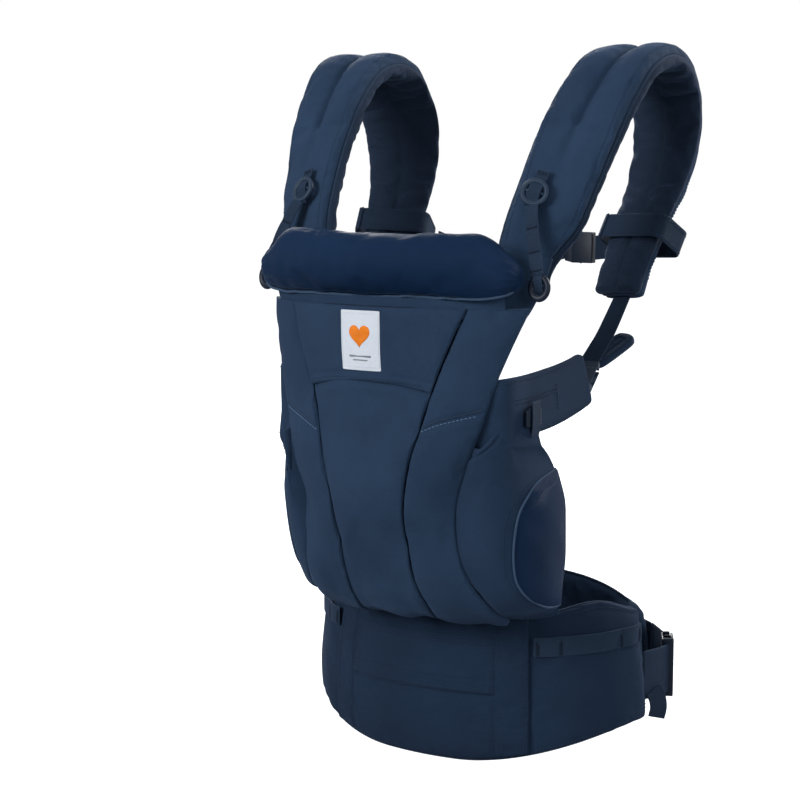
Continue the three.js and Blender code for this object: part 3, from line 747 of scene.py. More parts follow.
def band(name, centre, across, normal, width, material, thickness=WEBBING_THICKNESS, lift=None,
         step=2.0):
    """Webbing along a line of points: flat, with rounded selvedges; mm arrays of the line."""
    centre, across, normal = (np.asarray(a, float) for a in (centre, across, normal))
    travelled = np.concatenate([[0], np.cumsum(np.linalg.norm(np.diff(centre, axis=0), axis=1))])
    count = max(3, round(travelled[-1] / step) + 1)
    where = np.linspace(0, travelled[-1], count)
    line, side, up = (np.stack([np.interp(where, travelled, a[:, c]) for c in range(3)], -1)
                      for a in (centre, across, normal))
    side, up = unit(side), unit(up)
    half, deep = width / 2, thickness / 2
    places = np.array([-1, -0.985, -0.93, -0.86, -0.5, 0, 0.5, 0.86, 0.93, 0.985, 1])
    full = np.array([0.15, 0.6, 1, 0.9, 0.95, 0.95, 0.95, 0.9, 1, 0.6, 0.15])
    section = [(p * half, f * deep) for p, f in zip(places, full)]
    section += [(p * half, -f * deep) for p, f in zip(places[::-1], full[::-1])]
    ring = np.array(section)
    points = (line[:, None] + side[:, None] * ring[None, :, :1] + up[:, None] * ring[None, :, 1:])
    if lift is not None:
        points = points + up[:, None] * lift(where / where[-1], ring[:, 0] / half)[..., None]
    uv = np.stack(np.broadcast_arrays(ring[None, :, 0], where[:, None]), -1)
    size = len(ring)
    index = np.arange(count * size).reshape(count, size)
    faces = [(index[i, j], index[i, (j + 1) % size], index[i + 1, (j + 1) % size], index[i + 1, j])
             for i in range(count - 1) for j in range(size)]
    faces += [tuple(index[0][::-1]), tuple(index[-1])]
    return object_of(name, points.reshape(-1, 3), faces, material, uv.reshape(-1, 2))


def route_band(name, route, width, across, material, thickness=WEBBING_THICKNESS, **settings):
    """Webbing along a Route, its width as near as it can be to the across direction."""
    s = np.linspace(0, 1, 60)
    centre, ahead = route.at(s), route.tangent(s)
    side = np.broadcast_to(np.asarray(across, float), centre.shape)
    side = unit(side - ahead * (side * ahead).sum(-1, keepdims=True))
    return band(name, centre, side, np.cross(side, ahead), width, material, thickness, **settings)


def softened(node, material, width=0.9, segments=3, angle=25):
    """A copy of a moulded CAD part with its edges rounded, as a part from a tool has."""
    source = bpy.data.objects[node]
    made = bmesh.new()
    made.from_mesh(source.data)
    bmesh.ops.remove_doubles(made, verts=made.verts, dist=1e-6)
    bmesh.ops.dissolve_limit(made, angle_limit=math.radians(3), verts=made.verts, edges=made.edges)
    mesh = bpy.data.meshes.new(node + "_moulded")
    made.to_mesh(mesh)
    made.free()
    mesh.transform(source.matrix_world)
    mesh.materials.clear()
    mesh.materials.append(material)
    mesh.polygons.foreach_set("use_smooth", [True] * len(mesh.polygons))
    piece = bpy.data.objects.new(node + "_moulded", mesh)
    bpy.context.scene.collection.objects.link(piece)
    bevel = piece.modifiers.new("edges", "BEVEL")
    bevel.width, bevel.segments, bevel.limit_method = width * 0.001, segments, "ANGLE"
    bevel.angle_limit = math.radians(angle)
    bevel.harden_normals = True
    return piece


# ------------------------------------------------------------------ waist belt


def belt_point(degrees, z, inset=0.0):
    turn = np.radians(degrees)
    swell_ = BELT_SWELL * (1 - ((z - SWELL_HEIGHT) / (BELT_TOP - SWELL_HEIGHT)) ** 2)
    out = swell_ - inset
    return np.stack(np.broadcast_arrays((BELT_HALF_WIDTH + out) * np.sin(turn),
                                        -(BELT_HALF_DEPTH + out) * np.cos(turn), z), -1)


def belt_edges(degrees):
    away = np.abs(degrees)
    hip = BELT_TOP + 8 * ease(away, 42, 62)
    return mix(0, 34, ease(away, 12, 85)), mix(hip, 146, ease(away, 64, WING_END))


def lumbar_edges(degrees):
    middle = (LUMBAR_FROM + LUMBAR_TO) / 2
    away = np.abs(degrees - middle) / (LUMBAR_TO - middle)
    return mix(0, 34, ease(away, 0.45, 1)), mix(138, 114, away ** 2)


def ring_base(edges, start, end, inset=0.0, margin=0.0):
    """A layer of the ring between two angles, as a surface over the unit square."""
    def base(u, v):
        degrees = mix(start, end, u)
        low, high = edges(degrees)
        return belt_point(degrees, mix(low + margin, high - margin, v), inset)
    return base


AXIS = (0, 0, 75)           # a point inside the ring, for telling outward from inward


def belt_cover_relief(x, y, u, v, points):
    away = np.abs(mix(-WING_END, WING_END, u))
    wing = ease(away, 38, 44) * (1 - ease(away, 80, 85))
    crown = 1.6 * wing * np.sin(math.pi * np.clip(v, 0, 1)) ** 0.7
    drag = 0.5 * ripple(points, 60, 3, (1, 1, 2.2)) + 0.25 * ripple(points, 22, 4, (1, 1, 2))
    groove = -1.8 * hump((away - FRONT_PANEL - 0.9) * 3.1, 2.2)
    return crown + drag * wing + groove - 0.9 * hump(y - y.max(1, keepdims=True) + 6.5, 1.6)


def front_panel_relief(x, y, u, v, points):
    degrees = np.abs(mix(-FRONT_PANEL, FRONT_PANEL, u))
    z = points[..., 2]
    seam = -1.9 * hump((degrees - POCKET_END) * 3.1, 1.8)
    flap = 0.9 * ease(z, POCKET_HEIGHT - 1, POCKET_HEIGHT + 1) * ease(-z, -98, -86)
    inside = 1 - ease(degrees, POCKET_END - 1.2, POCKET_END - 0.4)
    pocket = inside * (flap - 3.6 * hump(z - (POCKET_HEIGHT - 2), 1.6)
                       - 0.9 * hump(z - 84, 1.2) - 1.3 * hump(z - 126, 1.3)
                       - 1.0 * hump(z - 117, 1.2))
    crown = 1.2 * np.sin(math.pi * v) ** 0.6
    drag = 0.45 * ripple(points, 55, 5, (2.2, 1, 1)) + 0.18 * ripple(points, 19, 6)
    return crown + seam + pocket + drag


def quilted(spacing, depth, width):
    """Relief of sewn channels across a pad, spacing millimetres apart."""
    def relief(x, y, u, v, points):
        off = np.abs((x + spacing / 2) % spacing - spacing / 2)
        fade = np.sin(math.pi * np.clip(v, 0, 1)) ** 0.4
        return (-depth * hump(off, width) * fade
                + 0.5 * ripple(points, 26, 11) + 0.3 * ripple(points, 11, 12, (1, 1, 1.8)))
    return relief


def build_belt():
    cover = Shell("belt_cover_cloth", ring_base(belt_edges, -WING_END, WING_END, 2.2), 0, 6.6,
                  OUTER_BELT_PAINTED_SHADE, AXIS, step=4, corner=9, relief=belt_cover_relief)
    front = Shell("belt_front_panel_cloth", ring_base(belt_edges, -FRONT_PANEL, FRONT_PANEL, 0, 4),
                  0.6, 3.0, OUTER_BELT_PAINTED_SHADE, AXIS, step=(3, 1.5), corner=3, relief=front_panel_relief)
    padding = Shell("belt_padding_quilt",
                    ring_base(belt_edges, -WING_END + 1.6, WING_END - 1.6, 9.0, 1.6), 0, 9.0,
                    INNER, AXIS, step=4, corner=9, back_relief=quilted(42, 1.6, 3.2))
    swell(cover, cover.hold(inner=1, outer=np.where(
        np.abs(mix(-WING_END, WING_END, cover.u)) < 37, 1, 0)), 3.0, 0.012, 2.2)
    seam = np.abs(np.abs(mix(-FRONT_PANEL, FRONT_PANEL, front.u)) - POCKET_END) < 1.4
    pocket = (np.abs(front_z(front) - POCKET_HEIGHT) < 9) | (np.abs(front_z(front) - 122) < 9)
    swell(front, front.hold(inner=1, outer=np.where(seam | pocket, 1, 0)), 2.0, 0.010, 1.2)
    off = np.abs((padding.x + 21) % 42 - 21)
    swell(padding, padding.hold(outer=1, inner=np.where(off < 3, 1, 0)), 3.0, 0.02, 2.5)
    pad = Shell("lumbar_pad_cushion", ring_base(lumbar_edges, LUMBAR_FROM, LUMBAR_TO, 1.0), 0, 14.0,
                OUTER_SIDE_PAINTED_SHADE, AXIS, step=4, rim=7, corner=24,
                relief=lambda x, y, u, v, p: 1.0 * np.sin(math.pi * v) ** 0.6
                + 0.5 * ripple(p, 40, 21) - 1.6 * hump(np.abs(p[..., 2] - WAIST_HEIGHT) - 30, 2.2),
                back_relief=lambda x, y, u, v, p: -1.8 * (
                    hump(np.abs(x) - 38, 3) + hump(np.abs(x) - 92, 3)) * np.sin(math.pi * v) ** 0.4
                + 0.5 * ripple(p, 30, 22))
    rows = np.abs(np.abs(belt_z(pad) - WAIST_HEIGHT) - 30) < 3
    lines = (np.abs(np.abs(pad.x) - 38) < 3) | (np.abs(np.abs(pad.x) - 92) < 3)
    swell(pad, pad.hold(outer=np.where(rows, 1, 0), inner=np.where(lines, 1, 0)), 4.0, 0.015, 3.0)
    return cover, front, padding, pad


def belt_z(shell):
    degrees = mix(LUMBAR_FROM, LUMBAR_TO, shell.u)
    low, high = lumbar_edges(degrees)
    return mix(low, high, shell.v)


def front_z(shell):
    low, high = belt_edges(mix(-FRONT_PANEL, FRONT_PANEL, shell.u))
    return mix(low + 4, high - 4, shell.v)


def share_of_angle(degrees, start, end):
    return (np.asarray(degrees, float) - start) / (end - start)


def trim_belt(cover, front, padding, pad):
    finished(subdivide(cover.piece), "root", "outer_fabric", "belt_cover")
    finished(subdivide(front.piece), "root", "outer_fabric", "belt_front_panel")
    finished(subdivide(padding.piece), "root", "inner_fabric", "belt_padding")
    finished(subdivide(pad.piece), "root", "outer_fabric", "lumbar_pad")

    lines = []
    z_share = lambda z: (z - 4) / 142
    for side in (-1, 1):
        for degrees in (POCKET_END - 0.9, POCKET_END + 0.9, FRONT_PANEL - 1.6):
            u = 0.5 + side * degrees / FRONT_PANEL / 2
            lines.append(seam_line(front, [u, u], [0.02, 0.98], 90))
        u = share_of_angle(side * (WING_END - 1.5), -WING_END, WING_END)
        lines.append(seam_line(cover, [u, u], [0.06, 0.94], 80))
        ends = share_of_angle(np.array([side * 37.5, side * (WING_END - 2)]), -WING_END, WING_END)
        lines.append(seam_line(cover, ends, [0.955, 0.955], 120))
        lines.append(seam_line(cover, ends, [0.04, 0.05], 120))
    width = (POCKET_END - 1) / FRONT_PANEL / 2
    for z in (84, 119, 125, POCKET_HEIGHT + 3.2):
        lines.append(seam_line(front, [0.5 - width, 0.5 + width], [z_share(z)] * 2, 120))
    thread = stitches("belt_stitching", lines, THREAD)
    finished(thread, "root", "outer_fabric")

    # A bound edge runs all round the belt between its cover and its padding.
    rim = []
    for z_end, order in ((1, 1), (0, -1)):
        degrees = np.linspace(-WING_END + 2, WING_END - 2, 160)[::order]
        low, high = belt_edges(degrees)
        rim.append(belt_point(degrees, high - 1.2 if z_end else low + 1.2, 7.0))
        turn = np.sign(degrees[-1]) * (WING_END - 0.5)
        low, high = belt_edges(np.array([turn]))
        heights = np.linspace(high[0] - 9, low[0] + 9, 24)[::order]
        rim.append(belt_point(np.full(24, turn), heights, 7.0))
    binding = tube("belt_binding", place(np.concatenate(rim)), 1.9, PIPING_DARK, closed=True)
    finished(subdivide(binding), "root", "outer_fabric")

    degrees = np.linspace(LUMBAR_FROM + 8, LUMBAR_TO - 8, 90)
    low, high = lumbar_edges(degrees)
    line = np.concatenate([belt_point(degrees, high - 0.6, 8.0),
                           belt_point(np.full(12, LUMBAR_TO - 1.2), np.linspace(98, 52, 12), 8.0),
                           belt_point(degrees[::-1], low[::-1] + 0.8, 8.0),
                           belt_point(np.full(12, LUMBAR_FROM + 1.2), np.linspace(52, 98, 12),
                                      8.0)])
    piping = tube("lumbar_piping", place(line), 1.6, PIPING_DARK, closed=True)
    finished(subdivide(piping), "root", "outer_fabric")

    # The waist webbing is sewn across the back of the lumbar pad.
    degrees = np.linspace(LUMBAR_FROM + 1.5, LUMBAR_TO - 1.5, 80)
    centre = belt_point(degrees, WAIST_HEIGHT, -2.2)
    normal = unit(centre * [1, 1, 0])
    sewn = band("lumbar_webbing", centre, np.broadcast_to([0, 0, 1.0], centre.shape), normal,
                WAIST_WEBBING, WEBBING, 1.6)
    finished(sewn, "root", "webbing")
    tree = tree_of(sewn)
    rows = []
    for height in (-WAIST_WEBBING / 2 + 3, WAIST_WEBBING / 2 - 3):
        rows.append(onto(tree, place(belt_point(degrees[2:-2], WAIST_HEIGHT + height, -4.2))))
    for middle in (LUMBAR_FROM + 12, LUMBAR_TO - 12):
        for lean in (-1, 1):
            across = np.linspace(-7, 7, 24)
            rows.append(onto(tree, place(belt_point(
                middle + across, WAIST_HEIGHT + lean * across / 7 * 21, -4.2))))
        for end in (-7, 7):
            rows.append(onto(tree, place(belt_point(
                np.full(24, middle + end), WAIST_HEIGHT + np.linspace(-21, 21, 24), -4.2))))
    finished(stitches("lumbar_webbing_stitching", rows, LIGHT_THREAD), "root", "webbing")


def onto(tree, spots, lift=0.0):
    """Points moved onto a surface, with its normals, for a row of stitches."""
    found = [tree.find_nearest(Vector(p))[:2] for p in spots]
    ups = np.array([n for _, n in found])
    return np.array([p for p, _ in found]) + ups * lift * 0.001, ups


def build_pouch_loops():
    """A strip of webbing on each wing, sewn down at its ends and between its loops."""
    tacks = [39.2, 47, 71, 81.3]
    for side, sign in SIDES:
        degrees = np.linspace(38, 82.5, 110)

        def bow(d):
            return 1.6 * sum(np.sin(math.pi * np.clip((d - a) / (b - a), 0, 1)) ** 0.8
                             for a, b in zip(tacks, tacks[1:]))
        middle = mix(118.5, 123, (degrees - 38) / 44)
        inset = -2.0 - bow(degrees)
        centre = np.stack([belt_point(sign * d, z, i) for d, z, i in zip(degrees, middle, inset)])
        normal = unit(centre * [1, 1, 0])
        strip = band(f"pouch_loop_{side}_webbing", centre,
                     np.broadcast_to([0, 0, 1.0], centre.shape), normal, 19.5, WEBBING_FLAT, 1.5,
                     step=1.5)
        finished(strip, "root", "webbing", f"pouch_loop_{side}")
        tree = tree_of(strip)
        rows = []
        for tack in tacks:
            for shift in (-0.45, 0, 0.45):
                z = mix(118.5, 123, (tack - 38) / 44)
                rows.append(onto(tree, place(belt_point(
                    np.full(16, sign * (tack + shift)), z + np.linspace(-8.5, 8.5, 16), -3))))
        finished(stitches(f"pouch_loop_{side}_tacks", rows, THREAD_DARK, 1.5, 0.05, 0.5), "root",
                 "webbing")


# ------------------------------------------------------------------ body panel


def body_point(x, v):
    z, middle, edge_x, edge_y = (row_at(BODY_ROWS, v)[..., k] for k in range(4))
    return np.stack([x, mix(middle, edge_y, (x / edge_x) ** 2), z], -1)


def body_edge(v, sign):
    row = row_at(BODY_ROWS, v)
    return sign * (row[..., 2] - (row[..., 6] if sign < 0 else 0))


def body_seam(v, sign):
    return sign * row_at(BODY_ROWS, v)[..., 4 if sign > 0 else 5]


def slit_row(x):
    """The row of the upper panel's hem: a shallow arch."""
    return 0.783 + 0.022 * (1 - (x / 68) ** 2)


def body_base(from_x, to_x, from_v, to_v):
    def base(u, v):
        row = mix(from_v, to_v, v)
        return body_point(mix(from_x(row), to_x(row), u), row)
    return base


def gathered(points, seed):
    """Soft folds down the panel, deeper at its foot where the cloth is gathered to the belt."""
    x, z = points[..., 0], points[..., 2]
    foot = 1 - ease(z, 150, 225)
    folds = 1.5 * foot * np.sin(x / 7.5 + 1.3 * ripple(points, 90, seed))
    return (folds + 1.0 * ripple(points, 70, seed + 1, (1, 1, 2.6))
            + 0.35 * ripple(points, 24, seed + 2, (1, 1, 1.7)))


def centre_relief(x, y, u, v, points):
    edge = np.minimum(u, 1 - u) * (x.max() - x.min())
    row = v * 0.84
    under_hem = -3.2 * ease(row, slit_row(points[..., 0]) - 0.012, slit_row(points[..., 0]) - 0.003)
    return (under_hem + 1.4 * np.sin(math.pi * u) ** 0.5
            + 0.8 * gathered(points, 31) * ease(edge, 0, 22))


def upper_relief(x, y, u, v, points):
    hem = -0.8 * hump(y - 9, 1.5)
    return (1.2 * np.sin(math.pi * u) ** 0.5 * np.sin(math.pi * np.clip(v, 0, 1)) ** 0.3
            + 0.7 * ripple(points, 60, 41, (1, 1, 2)) + hem)


DIAGONAL = [[53, 0.680], [76, 0.707], [109, 0.731]]   # the side panels' slanting seam: x and row
LEFT_DIAGONAL_DROP = 0.016


def diagonal_row(across, sign):
    """The row of the slanting seam at this distance from the panel's middle."""
    row = np.interp(across, [d[0] for d in DIAGONAL], [d[1] for d in DIAGONAL])
    return row - (LEFT_DIAGONAL_DROP if sign < 0 else 0)


def side_relief(sign):
    def relief(x, y, u, v, points):
        middle = np.sin(math.pi * u) ** 0.6
        seam = -1.5 * hump((v - diagonal_row(np.abs(points[..., 0]), sign)) * 330, 2.2)
        return 1.9 * middle + seam + 0.75 * gathered(points, 51 + sign)
    return relief


def build_body():
    gap = 0.5
    seams = {sign: (lambda v, s=sign: body_seam(v, s)) for _, sign in SIDES}
    centre = Shell("body_centre_cloth",
                   body_base(lambda v: seams[-1](v) + gap, lambda v: seams[1](v) - gap, 0, 0.84),
                   -0.6, 4.4, OUTER, AXIS, step=4, rim=2.4, relief=centre_relief)
    swell(centre, centre.hold(inner=1), 1.2, 0.006, 1.6)

    def hem_base(u, v):
        row = mix(slit_row(mix(-68, 68, u)), 1.0, v)
        x = mix(seams[-1](row) + gap, seams[1](row) - gap, u)
        return body_point(x, row)
    upper = Shell("body_upper_cloth", hem_base, 1.7, 4.8, OUTER, AXIS, step=(4, 3), rim=2.2,
                  relief=upper_relief)
    swell(upper, upper.hold(inner=1), 1.0, 0.006, 1.2)
    shells = {"centre": centre, "upper": upper}
    for side, sign in SIDES:
        near = lambda v, s=sign: seams[s](v) + s * gap
        far = lambda v, s=sign: body_edge(v, s)
        panel = Shell(f"body_side_{side}_cloth", body_base(near, far, 0.03, 1), 0.2, 5.2, OUTER,
                      AXIS, step=4, rim=2.6, corner=(0, 26, 0, 3), relief=side_relief(sign))
        across = np.abs(mix(near(panel.v), far(panel.v), panel.u))
        held = np.where(np.abs(panel.v - diagonal_row(across, sign)) < 0.012, 1, 0)
        swell(panel, panel.hold(inner=1, outer=held), 1.5, 0.008, 1.8)
        shells[side] = panel
    return shells


def trim_body(shells):
    for key, nodes, flat in (("centre", ["body_centre_panel"], (0.110, 0.275)),
                             ("upper", ["body_upper_panel"], (0.165, 0.075)),
                             ("right", ["body_side_right"], (0.062, 0.350)),
                             ("left", ["body_side_left"], (0.062, 0.350))):
        piece = subdivide(shells[key].piece)
        finished(piece, "root", "outer_fabric", *nodes)
    liner = Shell("body_liner_cloth",
                  body_base(lambda v: body_edge(v, -1) + 5, lambda v: body_edge(v, 1) - 5, 0, 1),
                  -7.4, 5.6, INNER, AXIS, step=5, rim=2.6, corner=(2, 2, 8, 8),
                  back_relief=lambda x, y, u, v, p: 0.6 * ripple(p, 50, 61, (1, 1, 2))
                  - 1.3 * hump(np.abs(np.abs(x) - 52), 2.4) * np.sin(math.pi * v) ** 0.3)
    finished(subdivide(liner.piece), "root", "inner_fabric", "body_liner")

    rows = []
    upper, centre = shells["upper"], shells["centre"]
    rows.append(seam_line(upper, np.linspace(0.03, 0.97, 12), [0.055] * 12, 150))
    for sign, u in ((-1, 0.035), (1, 0.965)):
        rows.append(seam_line(centre, [u, u], [0.10, 0.90], 150))
    finished(stitches("body_stitching", rows, THREAD), "root", "outer_fabric")

    # The slanting seams across the side panels are top-stitched in a lighter thread.
    light = []
    for side, sign in SIDES:
        panel = shells[side]
        spots = []
        for x, row in row_at(DIAGONAL, np.linspace(0, 1, 40)):
            row -= LEFT_DIAGONAL_DROP if sign < 0 else 0
            near, far = body_seam(row, sign), body_edge(row, sign)
            spots.append(((sign * x - near) / (far - near), row))
        u, v = np.array(spots).T
        keep = (u > 0.02) & (u < 0.98)
        line = panel.at(np.clip(u[keep], 0, 1), v[keep] - 0.006)
        light.append(line)
        cord_line, ups = panel.at(np.clip(u[keep], 0, 1), v[keep] + 0.0045)
        welt = tube(f"body_welt_{side}", cord_line, 0.9, PIPING_DARK, squash=0.6, ups=ups)
        finished(welt, "root", "outer_fabric")
    finished(stitches("body_slanting_stitching", light, LIGHT_THREAD, 3.4, 0.5, 0.55), "root",
             "outer_fabric")
    build_label()


def build_label():
    """A white woven label on the upper panel, with a plain heart and two bars woven into it."""
    half, low, high = 21, 0.835, 0.985

    def base(u, v):
        row = mix(low, high, v)
        return body_point(mix(-half, half, u), row)
    patch = Shell("label_cloth", base, 4.3, 1.0, LABEL, AXIS, step=2.5, rim=0.6, corner=1.5,
                  relief=lambda x, y, u, v, p: 0.9 * np.sin(math.pi * u) * np.sin(math.pi * v)
                  + 0.12 * ripple(p, 9, 71))
    finished(subdivide(patch.piece), "root", "label_fabric", "label_patch")
    turn = np.linspace(0, 2 * math.pi, 72, endpoint=False)
    heart = np.stack([16 * np.sin(turn) ** 3,
                      13 * np.cos(turn) - 5 * np.cos(2 * turn) - 2 * np.cos(3 * turn)
                      - np.cos(4 * turn)], -1) * [0.72, 0.78]
    bars = [np.array([[-12, -1.1], [12, -1.1], [12, 1.1], [-12, 1.1]]),
            np.array([[-8, -0.7], [8, -0.7], [8, 0.7], [-8, 0.7]]) + [0, -4.4]]
    tree = tree_of(patch.piece)
    for name, outline, middle, material in (("label_heart", heart, (0, 38), ORANGE),
                                            ("label_bar_long", bars[0], (0, 15.5), GREY),
                                            ("label_bar_short", bars[1], (0, 15.5), GREY)):
        inlay(name, outline + middle, tree, low, high, material)
    frame_line = [(-0.44, 0.06), (0.44, 0.06), (0.44, 0.94), (-0.44, 0.94), (-0.44, 0.06)]
    rows = []
    for (a, b), (c, d) in zip(frame_line, frame_line[1:]):
        rows.append(seam_line(patch, [a * 1.06 + 0.5, c * 1.06 + 0.5], [b, d], 30))
    finished(stitches("label_stitching", rows, LABEL, 1.8, 0.6, 0.22), "root", "label_fabric")


def inlay(name, outline, tree, low, high, material):
    """A thin woven figure on the label: its outline is in millimetres, from the label's foot up."""
    span = 64.0
    centre = outline.mean(0)
    rings = []
    for share in (1.0, 0.94, 0.6, 0.25, 0.02):
        flat = centre + (outline - centre) * share
        v = mix(low, high, flat[:, 1] / span)
        spots, ups = onto(tree, place(body_point(flat[:, 0], v) - [0, 6, 0]))
        rings.append(spots + ups * (0.00004 if share == 1.0 else 0.00035))
    count = len(outline)
    points = np.concatenate(rings)
    under = rings[0] - np.array([0, -0.0003, 0])
    points = unplace(np.concatenate([points, under]))
    faces = []
    for r in range(len(rings) - 1):
        for j in range(count):
            k = (j + 1) % count
            faces.append((r * count + j, r * count + k, (r + 1) * count + k, (r + 1) * count + j))
    last = (len(rings) - 1) * count
    faces.append(tuple(range(last, last + count)))
    foot = len(rings) * count
    for j in range(count):
        k = (j + 1) % count
        faces.append((foot + j, foot + k, k, j))
    faces.append(tuple(range(foot + count - 1, foot - 1, -1)))
    uv = np.tile(outline, (len(rings) + 1, 1))
    finished(object_of(name, points, faces, material, uv), "root", "label_fabric")


# ------------------------------------------------------------------ seat sides and side bands


def seat_point(sign, u, v):
    """Below u = 0 the cloth goes on behind the body panel, where it is sewn in."""
    row = row_at(SEAT_ROWS, v)
    tuck = np.clip(-u / SEAT_TUCK, 0, 1)
    xy = np.stack([np.stack([row[..., i] + (1.5 if i == 0 else 0), row[..., i + 1]], -1)
                   for i in (0, 2, 4, 6)], -2)
    where = np.clip(u, 0, 1) * 3
    i = np.minimum(where.astype(int), 2)
    f = (where - i)[..., None]

    def pick(k):
        return np.take_along_axis(xy, np.repeat(k[..., None, None], 2, -1), -2)[..., 0, :]
    a, b, c, d = pick(np.maximum(i - 1, 0)), pick(i), pick(i + 1), pick(np.minimum(i + 2, 3))
    spot = b + 0.5 * f * (c - a + f * (2 * a - 5 * b + 4 * c - d + f * (3 * (b - c) + d - a)))
    above = np.clip(v - 1, 0, None) * 166
    inward = 0
    if sign < 0:
        edge, rest = np.moveaxis(row_at(LEFT_SEAT_IN, v), -1, 0)
        inward = mix(edge, rest, ease(u, 0, 0.33))
    x = spot[..., 0] - SEAT_TUCK_IN * tuck - inward - 0.3 * above * np.clip(u, 0, 1)
    return np.stack([sign * x, spot[..., 1] + SEAT_TUCK_BACK * tuck, row[..., 8] + above], -1)


def inset_from(v):
    """Where the satin inset begins along the row at height v."""
    seam = np.array(INSET_SEAM)
    lower, upper = seam[5:], seam[:6][::-1]
    heights = np.concatenate([lower[::-1][:, 1], upper[1:, 1]])
    places = np.concatenate([lower[::-1][:, 0], upper[1:, 0]])
    return np.interp(v, heights, places)


def build_seat():
    shells = {}
    for side, sign in SIDES:
        def relief(x, y, u, v, points):
            foot = 1 - ease(v, 0.08, 0.42)
            edge = ease(u, 0.02, 0.2) * ease(1 - u, 0.0, 0.08)
            folds = 2.2 * foot * np.sin(y / 7.0 + x / 16 + 1.2 * ripple(points, 60, 81))
            top = -1.2 * hump(y.max() - y - 9, 1.6)
            bulge = 2.2 * np.sin(math.pi * u) ** 0.7
            return (bulge + folds * 0.8 + 0.8 * ripple(points, 45, 82, (1, 1, 2))) * edge + top
        shell = Shell(f"seat_side_{side}_cloth",
                      lambda u, v, s=sign: seat_point(
                          s, mix(-SEAT_TUCK, 1, u),
                          v * (1.0 + 0.115 * ease(u, 0.15, 0.66))),
                      0.4, 4.4, OUTER_SIDE_PAINTED_SHADE, AXIS, step=3.5, rim=2.2, corner=(3, 16, 2, 7),
                      relief=relief)
        swell(shell, shell.hold(inner=1), 1.2, 0.01, 1.5)
        shells[side] = shell
    return shells


def trim_seat(shells):
    for side, sign in SIDES:
        shell = shells[side]
        finished(subdivide(shell.piece), "root", "outer_fabric", f"seat_side_{side}")

        def base(u, v, s=sign):
            row = mix(0.145, 0.795, v)
            return seat_point(s, mix(inset_from(row), 0.985, u), row)

        def satin_relief(x, y, u, v, points):
            return (2.6 * np.sin(math.pi * np.clip(u, 0, 1)) ** 0.6 * np.sin(math.pi * v) ** 0.5
                    + 0.35 * ripple(points, 30, 91))
        satin = Shell(f"seat_inset_{side}_satin", base, 3.4, 4.0, SATIN, AXIS, step=3, rim=2,
                      relief=satin_relief)
        finished(subdivide(satin.piece), "root", "satin_fabric", f"seat_inset_{side}")
        line = row_at(INSET_SEAM, np.linspace(0.0, 1, 120))
        surface = tree_of(shell.piece)
        spots, ups = onto(surface, place(seat_point(sign, line[:, 0], line[:, 1])
                                         + np.array([sign * 5, 0, 0])), 1.2)
        smooth = spots.copy()
        for _ in range(3):
            smooth[1:-1] = (smooth[:-2] + 2 * smooth[1:-1] + smooth[2:]) / 4
        piping = tube(f"seat_inset_{side}_piping", smooth, 1.25, PIPING_TONE_AND_HIGHLIGHT, ups=ups)
        finished(subdivide(piping), "root", "outer_fabric")
        outside = np.array(INSET_SEAM) + np.array([-0.075, 0.0])
        outside = outside[1:-1]
        spots, ups = onto(surface, place(seat_point(sign, *row_at(outside, np.linspace(0, 1, 90)).T)
                                         + np.array([sign * 5, 0, 0])))
        rows = [(spots, ups)]
        rows.append(seam_line(shell, [0.06, 0.94], [0.955, 0.955], 60))
        rows.append(seam_line(shell, [0.955, 0.955], [0.80, 0.95], 30))
        finished(stitches(f"seat_stitching_{side}", rows, THREAD), "root", "outer_fabric")


def band_frame(sign, s, route):
    centre, ahead = route.at(s), route.tangent(s)
    up = np.broadcast_to([0, 0, 1.0], centre.shape)
    up = unit(up - ahead * (up * ahead).sum(-1, keepdims=True))
    normal = np.cross(up, ahead)
    return centre, up, normal * np.sign((normal[..., 0] * sign).mean())


def build_side_bands():
    """The padded band from the panel's edge to the shoulder buckle, with its row of slots."""
    for side, sign in SIDES:
        route = Route([[sign * x, y, z] for x, y, z in BAND_ROUTE])

        def base(u, v, s=sign, r=route):
            centre, up, _ = band_frame(s, u, r)
            reach = mix(1.0, 0.93, ease(u, 0.6, 1.0))
            flare = 26 * (1 - ease(u, 0.05, 0.45)) * np.clip(1 - 2 * v, 0, 1)
            return centre + up * ((v - 0.5) * BAND_WIDTH * reach - flare)[..., None]

        def relief(x, y, u, v, points):
            slots = -1.0 * hump(y - 33, 1.3) * ease(u, 0.30, 0.34) * ease(1 - u, 0.30, 0.34)
            panel = 0.9 * np.sin(math.pi * v) ** 0.5
            return panel + slots + 0.35 * ripple(points, 30, 95, (2, 2, 1))
        shell = Shell(f"side_band_{side}_pad", base, 2.6, 5.4, OUTER_SIDE_PAINTED_SHADE, AXIS, step=3, rim=2.6,
                      corner=(2, 9, 2, 9), relief=relief)
        finished(subdivide(shell.piece), "root", "outer_fabric", f"side_band_{side}")
        rows = [seam_line(shell, [0.04, 0.96], [level, level], 90) for level in (0.07, 0.93)]
        rows.append(seam_line(shell, [0.30, 0.70], [0.63, 0.63], 50))
        rows.append(seam_line(shell, [0.70, 0.70], [0.28, 0.74], 30))
        rows.append(seam_line(shell, [0.30, 0.70], [0.57, 0.57], 50))
        finished(stitches(f"side_band_{side}_stitching", rows, THREAD), "root", "outer_fabric")


